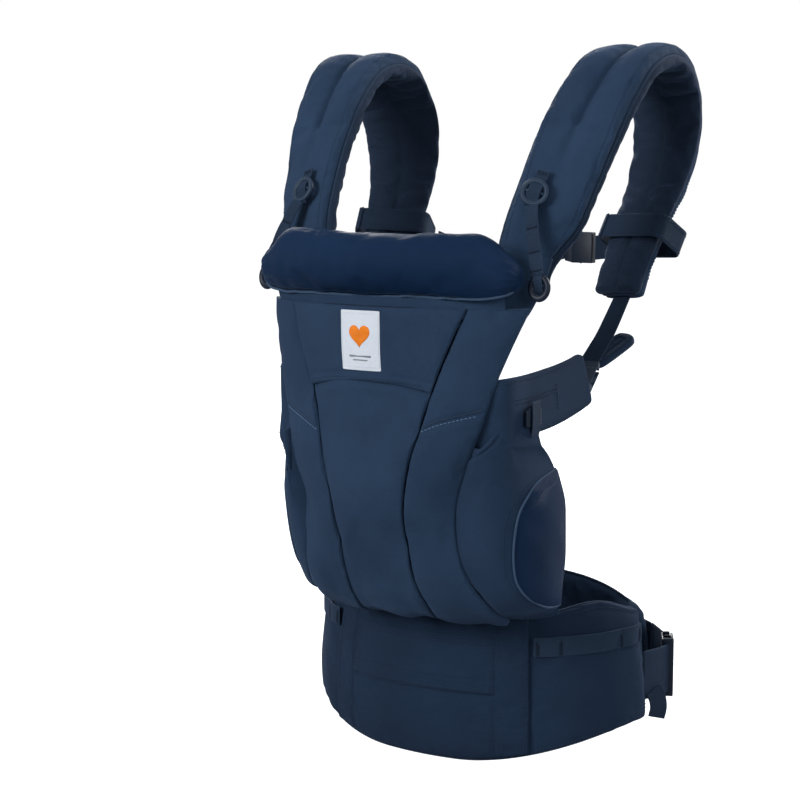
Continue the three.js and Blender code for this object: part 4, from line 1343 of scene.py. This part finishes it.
def build_seat_adjusters():
    """The moulded slider that sets the seat's width, with its webbing pull."""
    for side, sign in SIDES:
        slider = softened(f"seat_adjuster_{side}", PLASTIC, 1.0)
        finished(slider, f"seat_adjuster_{side}", "plastic", f"seat_adjuster_{side}")
        middle = middle_of(f"seat_adjuster_{side}")
        route = Route([middle + [sign * 2.6, 0, 14], middle + [sign * 3.1, 0, 3],
                       middle + [sign * 3.0, 0, -8], middle + [sign * 1.2, 1, -19]])
        pull = route_band(f"seat_adjuster_{side}_pull", route, 15, (0, 1, 0), WEBBING, 1.4)
        finished(pull, f"seat_adjuster_{side}", "webbing")


# ------------------------------------------------------------------ head support


def pillow_point(x, angle, grow=0.0):
    share = np.abs(x) / PILLOW_HALF_LENGTH
    y = mix(-211, -196, share ** 2)
    end = np.clip((PILLOW_HALF_LENGTH - np.abs(x)) / PILLOW_END, 0, 1)
    taper = ease(share, 0.70, 1.0)
    full = 0.04 + 0.96 * np.sqrt(1 - (1 - end) ** 2)
    across = (PILLOW_HALF_DEPTH * mix(1, 0.8, share ** 2) * (1 - 0.2 * taper) + grow) * full
    up = (PILLOW_HALF_HEIGHT * (1 - 0.46 * taper) + grow) * full
    middle = PILLOW_HEIGHT - 9 * taper
    return np.stack([x + 0 * angle, y - across * np.cos(angle), middle + up * np.sin(angle)], -1)


PILLOW_PIPING = math.radians(-66)


class Bolster:
    """The closed pillow: rings of points along x that close to a point at each end."""

    def __init__(self, name, material):
        turns = np.array([0, 25, 45, 62, 76])
        ends = PILLOW_END * (1 - np.cos(np.radians(turns)))
        inner = np.linspace(PILLOW_END - PILLOW_HALF_LENGTH, PILLOW_HALF_LENGTH - PILLOW_END, 66)
        self.xs = np.concatenate([-PILLOW_HALF_LENGTH + ends, inner,
                                  PILLOW_HALF_LENGTH - ends[::-1]])
        self.angles = PILLOW_PIPING + np.linspace(0, 2 * math.pi, 56, endpoint=False)
        x, angle = np.meshgrid(self.xs, self.angles, indexing="ij")
        pucker = ease(np.abs(x), 108, 138) * np.sin(angle * 13 + np.sign(x)) * 0.9
        points = pillow_point(x, angle, -2.4)
        heart = np.array([0.0, -205.0, PILLOW_HEIGHT])
        outward = unit((points - heart) * [0.02, 1, 1])
        soft = (0.7 * ripple(points, 55, 101, (1.6, 1, 1))
                + 0.3 * ripple(points, 20, 102, (1, 1.5, 1.5)))
        seam = -1.5 * hump((angle - PILLOW_PIPING + math.pi) % (2 * math.pi) - math.pi, 0.09)
        points = points + outward * (pucker + soft + seam)[..., None]
        rows, count = x.shape
        index = np.arange(rows * count).reshape(rows, count)
        faces = []
        for i in range(rows - 1):
            for j in range(count):
                k = (j + 1) % count
                faces.append((index[i, j], index[i + 1, j], index[i + 1, k], index[i, k]))
        flat = points.reshape(-1, 3)
        tips = [rows * count, rows * count + 1]
        flat = np.concatenate([flat, points[0].mean(0)[None], points[-1].mean(0)[None]])
        for j in range(count):
            k = (j + 1) % count
            faces.append((index[0, j], index[0, k], tips[0]))
            faces.append((index[-1, k], index[-1, j], tips[1]))
        uv = np.stack([x, angle * 31], -1).reshape(-1, 2)
        uv = np.concatenate([uv, [[-PILLOW_HALF_LENGTH, 0], [PILLOW_HALF_LENGTH, 0]]])
        self.piece = object_of(name, flat, faces, material, uv)
        self.held = np.zeros(len(flat))
        self.held[index[:, 0]] = 1
        self.held[tips] = 1
        self.held[index[[0, -1]]] = 0.6


def build_pillow():
    bolster = Bolster("head_pillow_cushion", SATIN)
    swell(bolster, bolster.held, 5.0, 0.012, 5.0, 15, 1.0)
    return bolster


def trim_pillow(bolster):
    piece = subdivide(bolster.piece)
    finished(piece, "head_support", "satin_fabric", "head_pillow_cover", "head_pillow_foam")
    tree = tree_of(piece)
    x = np.linspace(-PILLOW_HALF_LENGTH + 3, PILLOW_HALF_LENGTH - 3, 150)
    spots, ups = onto(tree, place(pillow_point(x, np.full(150, PILLOW_PIPING), 4)), 0.7)
    for _ in range(4):
        spots[1:-1] = (spots[:-2] + 2 * spots[1:-1] + spots[2:]) / 4
    piping = tube("head_pillow_piping", spots, 1.6, PIPING_TONE_AND_HIGHLIGHT, ups=ups)
    finished(subdivide(piping), "head_support", "outer_fabric")
    rows = [onto(tree, place(pillow_point(x[6:-6], np.full(138, PILLOW_PIPING + 0.16), 4)))]
    finished(stitches("head_pillow_stitching", rows, THREAD), "head_support", "satin_fabric")


# ------------------------------------------------------------------ shoulder straps

STRAP_CURVES = {sign: Route([[sign * x, y, z] for x, y, z in STRAP_ROUTE]) for _, sign in SIDES}


def strap_frame(sign, s):
    s = np.asarray(s, float)
    curve = STRAP_CURVES[sign]
    centre, ahead = curve.at(s), curve.tangent(s)
    turn = np.radians(mix(STRAP_TURN, -STRAP_TURN, ease(s, 0.1, 0.75)))
    across = np.stack([np.cos(turn), sign * np.sin(turn), 0 * turn], -1)
    across = unit(across - ahead * (across * ahead).sum(-1, keepdims=True))
    return centre, ahead, across, np.cross(across, ahead)


def strap_width(s):
    front = mix(STRAP_ROOT_WIDTH, STRAP_WIDTH, ease(s, 0, 0.4))
    return mix(front, STRAP_END_WIDTH, ease(s, 0.62, 1))


def strap_reach(sign, s, v):
    """The place across the strap, in millimetres: its outer edge runs in towards its root."""
    off = (v - 0.5) * strap_width(s)
    outside = np.clip(sign * (2 * v - 1), 0, None)
    return off - sign * outside * STRAP_TAPER * (1 - ease(s, -0.01, 0.14))


def strap_base(sign, offset):
    def base(u, v):
        centre, _, across, normal = strap_frame(sign, u)
        crown = 1 - 0.70 * np.abs(2 * v - 1) ** 4
        return (centre + across * strap_reach(sign, u, v)[..., None]
                + normal * (offset * crown)[..., None])
    return base


STRAP_LENGTH = STRAP_CURVES[1].length


def channel(s):
    """How deep the sewn channel is along the strap: it starts as a dart above the ring button."""
    return ease(s, 0.268, 0.285) * (1 - 0.3 * ease(s, 0.8, 0.95))


def strap_relief(x, y, u, v, points):
    off = (v - 0.5) * strap_width(u)
    deep = channel(u)
    lobes = 1.9 * deep * np.sin(math.pi * np.clip(np.abs(2 * v - 1), 0, 1)) ** 0.8
    dart = 1.9 * hump(u - 0.238, 0.038) * hump(off, 17) * -np.cos(off / 3.6)
    soft = 0.9 * ripple(points, 75, 111, (1, 1, 1.6)) + 0.35 * ripple(points, 26, 112)
    pucker = 0.35 * deep * hump(off, 13) * np.sin(x / 2.9 + ripple(points, 40, 113))
    return lobes - 7.0 * deep * np.exp(-np.abs(off) / 3.4) + soft + dart + pucker


def pad_relief(x, y, u, v, points):
    off = (v - 0.5) * strap_width(u)
    deep = 0.35 + 0.65 * ease(u, 0.2, 0.3)
    curl = ease(u, 0.26, 0.40) * (1 - ease(u, 0.72, 0.86))
    wrinkle = np.abs(np.sin(x / 8.5 + 1.6 * ripple(points, 60, 115, (3, 1, 1)))) ** 0.5
    side = ease(np.abs(off), 5, 26)
    fine = 0.45 * np.sin(x / 3.0 + 2 * ripple(points, 45, 116)) * side
    bend = (u - 0.625 + 0.015 * (2 * v - 1)) * STRAP_LENGTH
    crease = 2.0 * hump(bend, 17) - 6.5 * np.exp(-np.abs(bend) / 4.0)
    return (-4.5 * deep * np.exp(-np.abs(off) / 3.6) + crease
            + 2.2 * curl * (wrinkle - 0.6) * side + fine + 0.6 * ripple(points, 24, 117))


def build_straps():
    made = {}
    for side, sign in SIDES:
        heart = (sign * 152, -20, 545)
        cover = Shell(f"shoulder_cover_{side}_cloth", strap_base(sign, 6.0), 0, 9.0, OUTER, heart,
                      step=(4, 2.2), rim=4.4, corner=6, relief=strap_relief)
        pad = Shell(f"shoulder_pad_{side}_quilt", strap_base(sign, -4.6), 0, 12.4, INNER_PAD, heart,
                    step=(3.2, 2.6), rim=6, corner=6, back_relief=pad_relief)
        for shell, key in ((cover, "outer"), (pad, "inner")):
            off = (shell.v - 0.5) * strap_width(shell.u)
            seam = np.where((np.abs(off) < 3.0) & (channel(shell.u) > 0.4), 1, 0)
            weights = shell.hold(**{key: seam, ("inner" if key == "outer" else "outer"): 1})
            if key == "outer":
                swell(shell, weights, 3.0, 0.010, 2.6)
            else:
                swell(shell, weights, 4.0, 0.035, 4.0, 12, 0.3)
        made[side] = (cover, pad)
    return made


def trim_straps(made):
    for side, sign in SIDES:
        cover, pad = made[side]
        finished(subdivide(cover.piece), "root", "outer_fabric", f"shoulder_cover_{side}")
        finished(subdivide(pad.piece), "root", "inner_fabric", f"shoulder_pad_{side}")

        # The seam between the cover and the pad, all round the strap's edge.
        s = np.linspace(0.006, 0.994, 240)
        loop = []
        for edge, order in ((1, 1), (0, -1)):
            centre, _, across, normal = strap_frame(sign, s[::order])
            reach = strap_reach(sign, s[::order], edge + 0 * s) + (1.8 if edge == 0 else -1.8)
            loop.append(centre + across * reach[:, None] - normal * 5.0)
        centre, _, across, normal = (a[0] for a in strap_frame(sign, np.array([0.997])))
        turn = np.linspace(0.42, -0.42, 14)
        end = [centre + across * (t * STRAP_END_WIDTH) - normal * 5.0 for t in turn]
        line = np.concatenate([loop[0], end, loop[1]])
        piping = tube(f"shoulder_piping_{side}", place(line), 2.2, PIPING_DARK)
        finished(subdivide(piping), "root", "outer_fabric")

        rows = []
        for level in (0.38, 0.62):
            rows.append(seam_line(pad, [0.90, 0.985], [level, level], 40, "inner"))
        rows.append(seam_line(pad, [0.90, 0.90], [0.12, 0.88], 40, "inner"))
        for level in (0.14, 0.86):
            rows.append(seam_line(pad, [0.90, 0.985], [level, level], 40, "inner"))
        rows.append(seam_line(cover, [0.90, 0.90], [0.12, 0.88], 40))
        for level in (0.10, 0.90):
            rows.append(seam_line(cover, [0.03, 0.97], [level, level], 420))
        finished(stitches(f"shoulder_stitching_{side}", rows, THREAD), "root", "outer_fabric")


def lathe(name, profile, frame_axes, material, segments=96, ticks=None, sides=1.0):
    """A turned ring: profile holds (radius, height) and ticks lifts points by profile place."""
    origin, x_axis, y_axis, z_axis = frame_axes
    profile = np.array(profile, float)
    count = len(profile)
    points, uv = [], []
    for k in range(segments):
        turn = 2 * math.pi * k / segments
        ray = x_axis * math.cos(turn) + z_axis * math.sin(turn) * sides
        for i, (radius, height) in enumerate(profile):
            lift = ticks(i, k) if ticks else 0
            points.append(origin + ray * radius + y_axis * (height + lift))
            uv.append((radius, turn * 12))
    faces = []
    for k in range(segments):
        n = (k + 1) % segments
        for i in range(count):
            j = (i + 1) % count
            faces.append((k * count + i, k * count + j, n * count + j, n * count + i))
    return object_of(name, np.array(points), faces, material, uv)


# Outlines of two turned parts, as radius and height: the ring button and the ladder's slider.
RING_PROFILE = [(8.6, -1.5), (9.0, -2.0), (11.2, -2.1), (13.5, -2.0), (14, -1.5), (14, 0.3),
                (13.6, 1.2), (12.9, 1.7), (12.2, 1.9), (11.4, 1.95), (10.5, 1.9), (9.6, 1.6),
                (8.9, 1.0), (8.5, 0.2)]
SLIDER_PROFILE = [(4.6, -1.8), (5.2, -2.4), (8.0, -2.5), (10.2, -2.2), (10.9, -1.4), (11.0, 0.2),
                  (10.4, 1.5), (9.2, 2.3), (8.0, 2.5), (6.6, 2.1), (5.4, 1.3), (4.7, 0.4)]


def build_ring_buttons():
    for side, sign in SIDES:
        centre, _, across, normal = (a[0] for a in strap_frame(sign, np.array([RING_BUTTON_AT])))
        origin = centre + normal * (STRAP_THICKNESS / 2 + 5) - across * sign * RING_BUTTON_INWARD
        axes = (origin, across, normal, np.cross(across, normal))
        ticks = lambda i, k: 0.42 if i in (8, 9, 10) and k % 4 in (0, 1) else 0
        ring = lathe(f"ring_button_{side}_ring", RING_PROFILE, axes, PLASTIC_LIGHT, 144, ticks)
        finished(ring, f"ring_{side}", "plastic", f"ring_button_{side}")
        up = -axes[3] if axes[3][2] < 0 else axes[3]
        bar = [place(origin + across * t) for t in np.linspace(-9.4, 9.4, 12)]
        rod = tube(f"ring_button_{side}_bar", bar, 1.55, PLASTIC_LIGHT, sides=12)
        finished(subdivide(rod), f"ring_{side}", "plastic")
        # The tab that holds the ring: round its bar and up to a tack on the strap's face.
        surface = origin - normal * 4.2
        route = Route([surface + up * 24 + normal * 0.6, surface + up * 15 + normal * 1.2,
                       origin + up * 6 + normal * 1.4, origin + normal * 2.4,
                       origin - up * 4.5 + normal * 1.0, origin - up * 15 - normal * 1.2])
        tab = route_band(f"ring_tab_{side}", route, 12.5, across, WEBBING, 1.3)
        finished(tab, "root", "webbing")
        tree = tree_of(tab)
        rows = []
        for height in (21.5, 19.8):
            line = [place(surface + up * height + across * t + normal * 6)
                    for t in np.linspace(-5, 5, 12)]
            rows.append(onto(tree, line))
        tack = stitches(f"ring_tab_{side}_tack", rows, THREAD_DARK, 1.4, 0.1, 0.5)
        finished(tack, "root", "webbing")
    build_ladders()


LADDER = [[132, -156.5, 547], [137, -164.5, 531], [142, -170.5, 515], [147, -175.5, 499.5],
          [151.5, -180.5, 484]]


def build_ladders():
    """The looped webbing that sets the head support's height, and its round slider."""
    for side, sign in SIDES:
        route = Route([[sign * x, y, z] for x, y, z in LADDER])
        s = np.linspace(0, 1, 80)
        centre, ahead = route.at(s), route.tangent(s)
        across = unit(np.cross(ahead, np.cross(np.broadcast_to([1.0, 0, 0], ahead.shape), ahead)))
        normal = np.cross(across, ahead)
        normal *= np.sign((normal @ np.array([0, -1.0, 0])).mean())
        bows = lambda t, w: (1.3 * np.abs(np.sin(t * math.pi * 3.0)) ** 0.6)[:, None] + 0 * w[None]
        webbing = band(f"ladder_webbing_{side}_strip", centre, across, normal, 13, WEBBING, 1.3,
                       lift=bows, step=1.5)
        tree = tree_of(webbing)
        rows = []
        for share in (0.333, 0.667, 0.93):
            c = route.at(np.array([share]))[0]
            k = int(share * 79)
            line = [place(c + across[k] * t + normal[k] * 3) for t in np.linspace(-5.6, 5.6, 14)]
            rows.append(onto(tree, line))
            line = [place(c + ahead[k] * 0.9 + across[k] * t + normal[k] * 3)
                    for t in np.linspace(-5.6, 5.6, 14)]
            rows.append(onto(tree, line))
        tacks = stitches(f"ladder_webbing_{side}_tacks", rows, THREAD_DARK, 1.3, 0.1, 0.5)
        top, foot = place(route.at(np.array([0.05]))[0]), place(route.at(np.array([0.95]))[0])
        for piece in (webbing, tacks):
            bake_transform(piece)
        finished(webbing, None, "webbing", f"ladder_webbing_{side}")

        middle = middle_of(f"ladder_slider_{side}")
        facing = unit(np.array([sign * 0.10, -1.0, 0.12]))
        x_axis = unit(np.cross(facing, [0, 0, 1.0]))
        axes = (middle, x_axis, facing, np.cross(x_axis, facing))
        knob = lathe(f"ladder_slider_{side}_knob", SLIDER_PROFILE, axes, PLASTIC, 72, sides=1.18)
        finished(subdivide(knob), "head_support", "plastic", f"ladder_slider_{side}")
        bar = [place(middle + x_axis * t) for t in np.linspace(-5.4, 5.4, 8)]
        rod = tube(f"ladder_slider_{side}_bar", bar, 1.5, PLASTIC, sides=10)
        finished(subdivide(rod), "head_support", "plastic")
        end = Route([route.at(np.array([1.0]))[0], middle + [0, -2.6, 7], middle + [0, -1.8, 0],
                     middle + [0, 1.8, -6]])
        tail = route_band(f"ladder_slider_{side}_webbing", end, 8.6, (1, 0, 0), WEBBING, 1.2)
        finished(tail, "head_support", "webbing")


def build_yokes():
    """The cloth that joins each side panel's top to the strap's root, behind the head support."""
    for side, sign in SIDES:
        def base(u, v, s=sign):
            across = mix(0.02, 1.0, u)
            low = body_point(mix(body_seam(1.0, s) * 0.86, body_edge(1.0, s) * 0.93, across),
                             np.full(u.shape, 0.955)) + np.array([0, 3.2, 0])
            at = np.full(u.shape, 0.06)
            centre, _, side_, normal = strap_frame(s, at)
            reach = strap_reach(s, at, 0.5 + s * (across - 0.5))
            high = centre + side_ * reach[..., None] + normal * 8.5
            t = v[..., None]
            bent = mix(low, high, t)
            rise = low[..., 2] + (high[..., 2] - low[..., 2]) * v ** 1.7
            return np.stack([bent[..., 0], bent[..., 1], rise], -1)
        shell = Shell(f"shoulder_yoke_{side}_cloth", base, 0, 4.6, OUTER, (0, 0, 400), step=4,
                      rim=2.2, relief=lambda x, y, u, v, p: 0.8 * ripple(p, 40, 141, (1, 1, 2)))
        finished(subdivide(shell.piece), "root", "outer_fabric")


def build_hinge():
    """The strip of cloth on which the head support folds, from the panel's top to its piping."""
    def base(u, v):
        x = mix(-127, 127, u)
        low = body_point(x, np.full(u.shape, 0.965)) + np.array([0, 2.4, 0])
        high = pillow_point(x, np.full(u.shape, PILLOW_PIPING - 0.15), -11.0)
        return mix(low, high, v[..., None])
    shell = Shell("head_hinge_cloth", base, 0, 2.4, OUTER, (0, -150, 470), step=(4, 3), rim=1.2,
                  relief=lambda x, y, u, v, p: 0.5 * ripple(p, 30, 151))
    piece = subdivide(shell.piece)
    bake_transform(piece)


# ------------------------------------------------------------------ buckles and webbing

SHOULDER_MOUTH = np.array([128.0, -37.0, 384.0])
SHOULDER_PULL = unit(np.array([0, 0.72, 0.69]))
SHOULDER_BASE = 9


def build_buckles():
    groups = {"waist": (("",), 1.6, PLASTIC), "shoulder": (("_right", "_left"), 0.9, PLASTIC_LIGHT),
              "chest": (("",), 0.9, PLASTIC)}
    for prefix, (suffixes, radius, material) in groups.items():
        for suffix in suffixes:
            for part in ("socket", "plug", "latch_a", "latch_b"):
                node = f"{prefix}_{part}{suffix}"
                body = next(b for b, nodes in bodies_of_nodes.items() if node in nodes)
                small = radius * (0.45 if part in ("latch_a", "latch_b") else 1.0)
                if part == "plug":
                    small = radius * 0.6
                finished(softened(node, material, small), body, "plastic", node)


def build_waist_webbing():
    height = np.broadcast_to([0, 0, 1.0], (40, 3))
    inset = -3
    mouth = belt_point(112.0, WAIST_HEIGHT, inset)
    pull = unit(belt_point(116.0, WAIST_HEIGHT, inset) - belt_point(108.0, WAIST_HEIGHT, inset))
    # From the wing to the socket.
    tail = mouth - pull * 28.4
    start = belt_point(WING_END + 0.5, WAIST_HEIGHT, 6)
    route = Route([start, belt_point(91.5, WAIST_HEIGHT, 2.5),
                   belt_point(96.5, WAIST_HEIGHT, -1.8), tail])
    s = np.linspace(0, 1, 40)
    centre = route.at(s)
    piece = band("waist_webbing_front_strip", centre, height, unit(centre * [1, 1, 0]),
                 WAIST_WEBBING, WEBBING)
    finished(piece, "root", "webbing", "waist_webbing_front")
    # A folded end of the webbing hangs below the socket, stitched back on itself.
    fold = Route([belt_point(90.5, 60, 0), belt_point(91.5, 52, -2.5), belt_point(91.5, 42, -4.0),
                  belt_point(90.5, 32, -3.0)])
    flap = route_band("waist_webbing_fold", fold, 21, (0.45, 0.89, 0), WEBBING, 2.0)
    finished(flap, "root", "webbing")
    # From the plug to the lumbar pad.
    first = mouth + pull * 12.6
    route = Route([first, mix(first, belt_point(LUMBAR_FROM, WAIST_HEIGHT, inset), 0.5),
                   belt_point(LUMBAR_FROM + 1.0, WAIST_HEIGHT, inset)])
    centre = route.at(s)
    piece = band("waist_webbing_right_strip", centre, height, unit(centre * [1, 1, 0]),
                 WAIST_WEBBING, WEBBING)
    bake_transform(piece)
    finished(piece, None, "webbing", "waist_webbing_right")
    # On the left the webbing runs straight round from the lumbar pad to the wing.
    centre = belt_point(np.linspace(LUMBAR_TO - 1.0, 360 - WING_END - 0.4, 40), WAIST_HEIGHT, inset)
    piece = band("waist_webbing_left_strip", centre, height, unit(centre * [1, 1, 0]),
                 WAIST_WEBBING, WEBBING)
    finished(piece, "root", "webbing", "waist_webbing_left")


def build_shoulder_webbing():
    for side, sign in SIDES:
        flip = np.array([sign, 1, 1])
        mouth = SHOULDER_MOUTH * flip
        start = mouth + SHOULDER_PULL * (SHOULDER_BASE - 1.0)
        centre, ahead, across, _ = (a[0] for a in strap_frame(sign, np.array([1.0])))
        stop = centre - ahead * 4
        middle = mix(start, stop, 0.5) + [0, 3, -2]
        s = np.linspace(0, 1, 60)
        route = Route([start, mix(start, middle, 0.5) + [0, 1, 0], middle, stop])
        line, along = route.at(s), route.tangent(s)
        side_ = unit(np.array([1.0, 0, 0]) * (1 - s)[:, None] + across * s[:, None])
        side_ = unit(side_ - along * (side_ * along).sum(-1, keepdims=True))
        strip = band(f"strap_webbing_{side}_strip", line, side_, np.cross(side_, along),
                     SHOULDER_WEBBING, WEBBING)
        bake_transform(strip)
        finished(strip, None, "webbing", f"strap_webbing_{side}")

        # The padded grip tab beside the webbing, with a slot sewn down its middle.
        pull = unit(np.array([sign * 0.33, 0.8, 0.47]))
        origin = mouth + SHOULDER_PULL * SHOULDER_BASE + [0, 6, -4]
        wide = unit(np.array([1.0, 0, 0]) - pull * pull[0])

        def base(u, v, o=origin, p=pull, w=wide):
            width = mix(23, 26, ease(u, 0, 0.7))
            return o + p * (u * 57)[..., None] + w * ((v - 0.5) * width)[..., None]

        def relief(x, y, u, v, points):
            off = np.abs(y - y.max() / 2)
            slot = -1.3 * hump(off - 3.4, 1.0) * ease(u, 0.12, 0.2) * ease(1 - u, 0.14, 0.22)
            ends = -1.3 * (hump(x + 20, 1.0) + hump(x - 18, 1.0)) * (off < 3.6)
            return 0.7 * np.sin(math.pi * u) ** 0.5 + slot + ends + 0.2 * ripple(points, 14, 131)
        up = np.cross(wide, pull)
        tab = Shell(f"strap_tab_{side}_pad", base, 3.5, 7.0, OUTER_SIDE_PAINTED_SHADE,
                    tuple(origin + pull * 28 - up * 40), step=1.8, rim=3.4, corner=12.5,
                    relief=relief, back_relief=relief)
        finished(subdivide(tab.piece), f"shoulder_plug_{side}", "outer_fabric", f"strap_tab_{side}")
        rows = []
        for skin in ("outer", "inner"):
            rows.append(seam_line(tab, [0.10, 0.90], [0.14, 0.14], 40, skin))
            rows.append(seam_line(tab, [0.10, 0.90], [0.86, 0.86], 40, skin))
        finished(stitches(f"strap_tab_{side}_stitching", rows, THREAD, 2.0, 0.8, 0.35),
                 f"shoulder_plug_{side}", "outer_fabric")


def build_chest_strap():
    for side, sign in SIDES:
        centre, _, across, normal = (a[0] for a in strap_frame(sign, np.array([CHEST_LOOP_AT])))
        up = np.cross(across, normal)
        half = np.array([strap_width(CHEST_LOOP_AT), STRAP_THICKNESS]) / 2 + CHEST_LOOP_PAST
        radius = 9.0
        path, outward = [], []
        for quarter in range(4):
            sx, sy = ((-1, -1), (1, -1), (1, 1), (-1, 1))[quarter]
            for turn in np.linspace(0, math.pi / 2, 8):
                angle = math.pi + quarter * math.pi / 2 + turn
                ray = np.array([math.cos(angle), math.sin(angle)])
                path.append(np.array([sx, sy]) * (half - radius) + ray * radius)
                outward.append(ray)
        path, outward = np.array(path), np.array(outward)
        # The sleeve starts on the side towards the wearer and overlaps its own start.
        path = np.roll(path, -4, 0)
        outward = np.roll(outward, -4, 0)
        path = np.concatenate([path, path[:3] + outward[:3] * 2.0])
        outward = np.concatenate([outward, outward[:3]])
        points = centre + across * path[:, :1] + normal * path[:, 1:]
        facing = across * outward[:, :1] + normal * outward[:, 1:]
        sleeve = band(f"chest_loop_{side}_sleeve", points, np.broadcast_to(up, points.shape),
                      facing, 26, WEBBING, 1.9, step=1.6)
        finished(sleeve, "chest_strap", "webbing", f"chest_loop_{side}")
        tree = tree_of(sleeve)
        rows = []
        for shift in (-9.5, 9.5):
            ring = points + facing * 3 + up * shift
            rows.append(onto(tree, place(ring[2:-4])))
        finished(stitches(f"chest_loop_{side}_stitching", rows, THREAD), "chest_strap", "webbing")
    tall = np.broadcast_to([0, 0, 1.0], (40, 3))
    s = np.linspace(0, 1, 40)
    out = np.array([0, 1.0, 0])
    right = [[80, 76, 497], [96, 76.4, 499], [112, 77, 500.5]]
    left = [[44, 76, 497], [8, 77, 489], [-30, 77.5, 483], [-72, 77.5, 486], [-112, 77, 498]]
    for name, points, slides in (("chest_webbing_right", right, False),
                                 ("chest_webbing_left", left, True)):
        line = Route(points).at(s)
        strip = band(name + "_strip", line, tall, np.broadcast_to(out, line.shape), CHEST_WEBBING,
                     WEBBING)
        if slides:
            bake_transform(strip)
            finished(strip, None, "webbing", name)
        else:
            finished(strip, "chest_strap", "webbing", name)


# ------------------------------------------------------------------ build order

belt = build_belt()
panels = build_body()
seats = build_seat()
pillow = build_pillow()
straps = build_straps()
settle()
trim_belt(*belt)
build_pouch_loops()
trim_body(panels)
trim_seat(seats)
build_side_bands()
build_seat_adjusters()
trim_pillow(pillow)
trim_straps(straps)
build_yokes()
build_hinge()
build_ring_buttons()
build_buckles()
build_waist_webbing()
build_shoulder_webbing()
build_chest_strap()
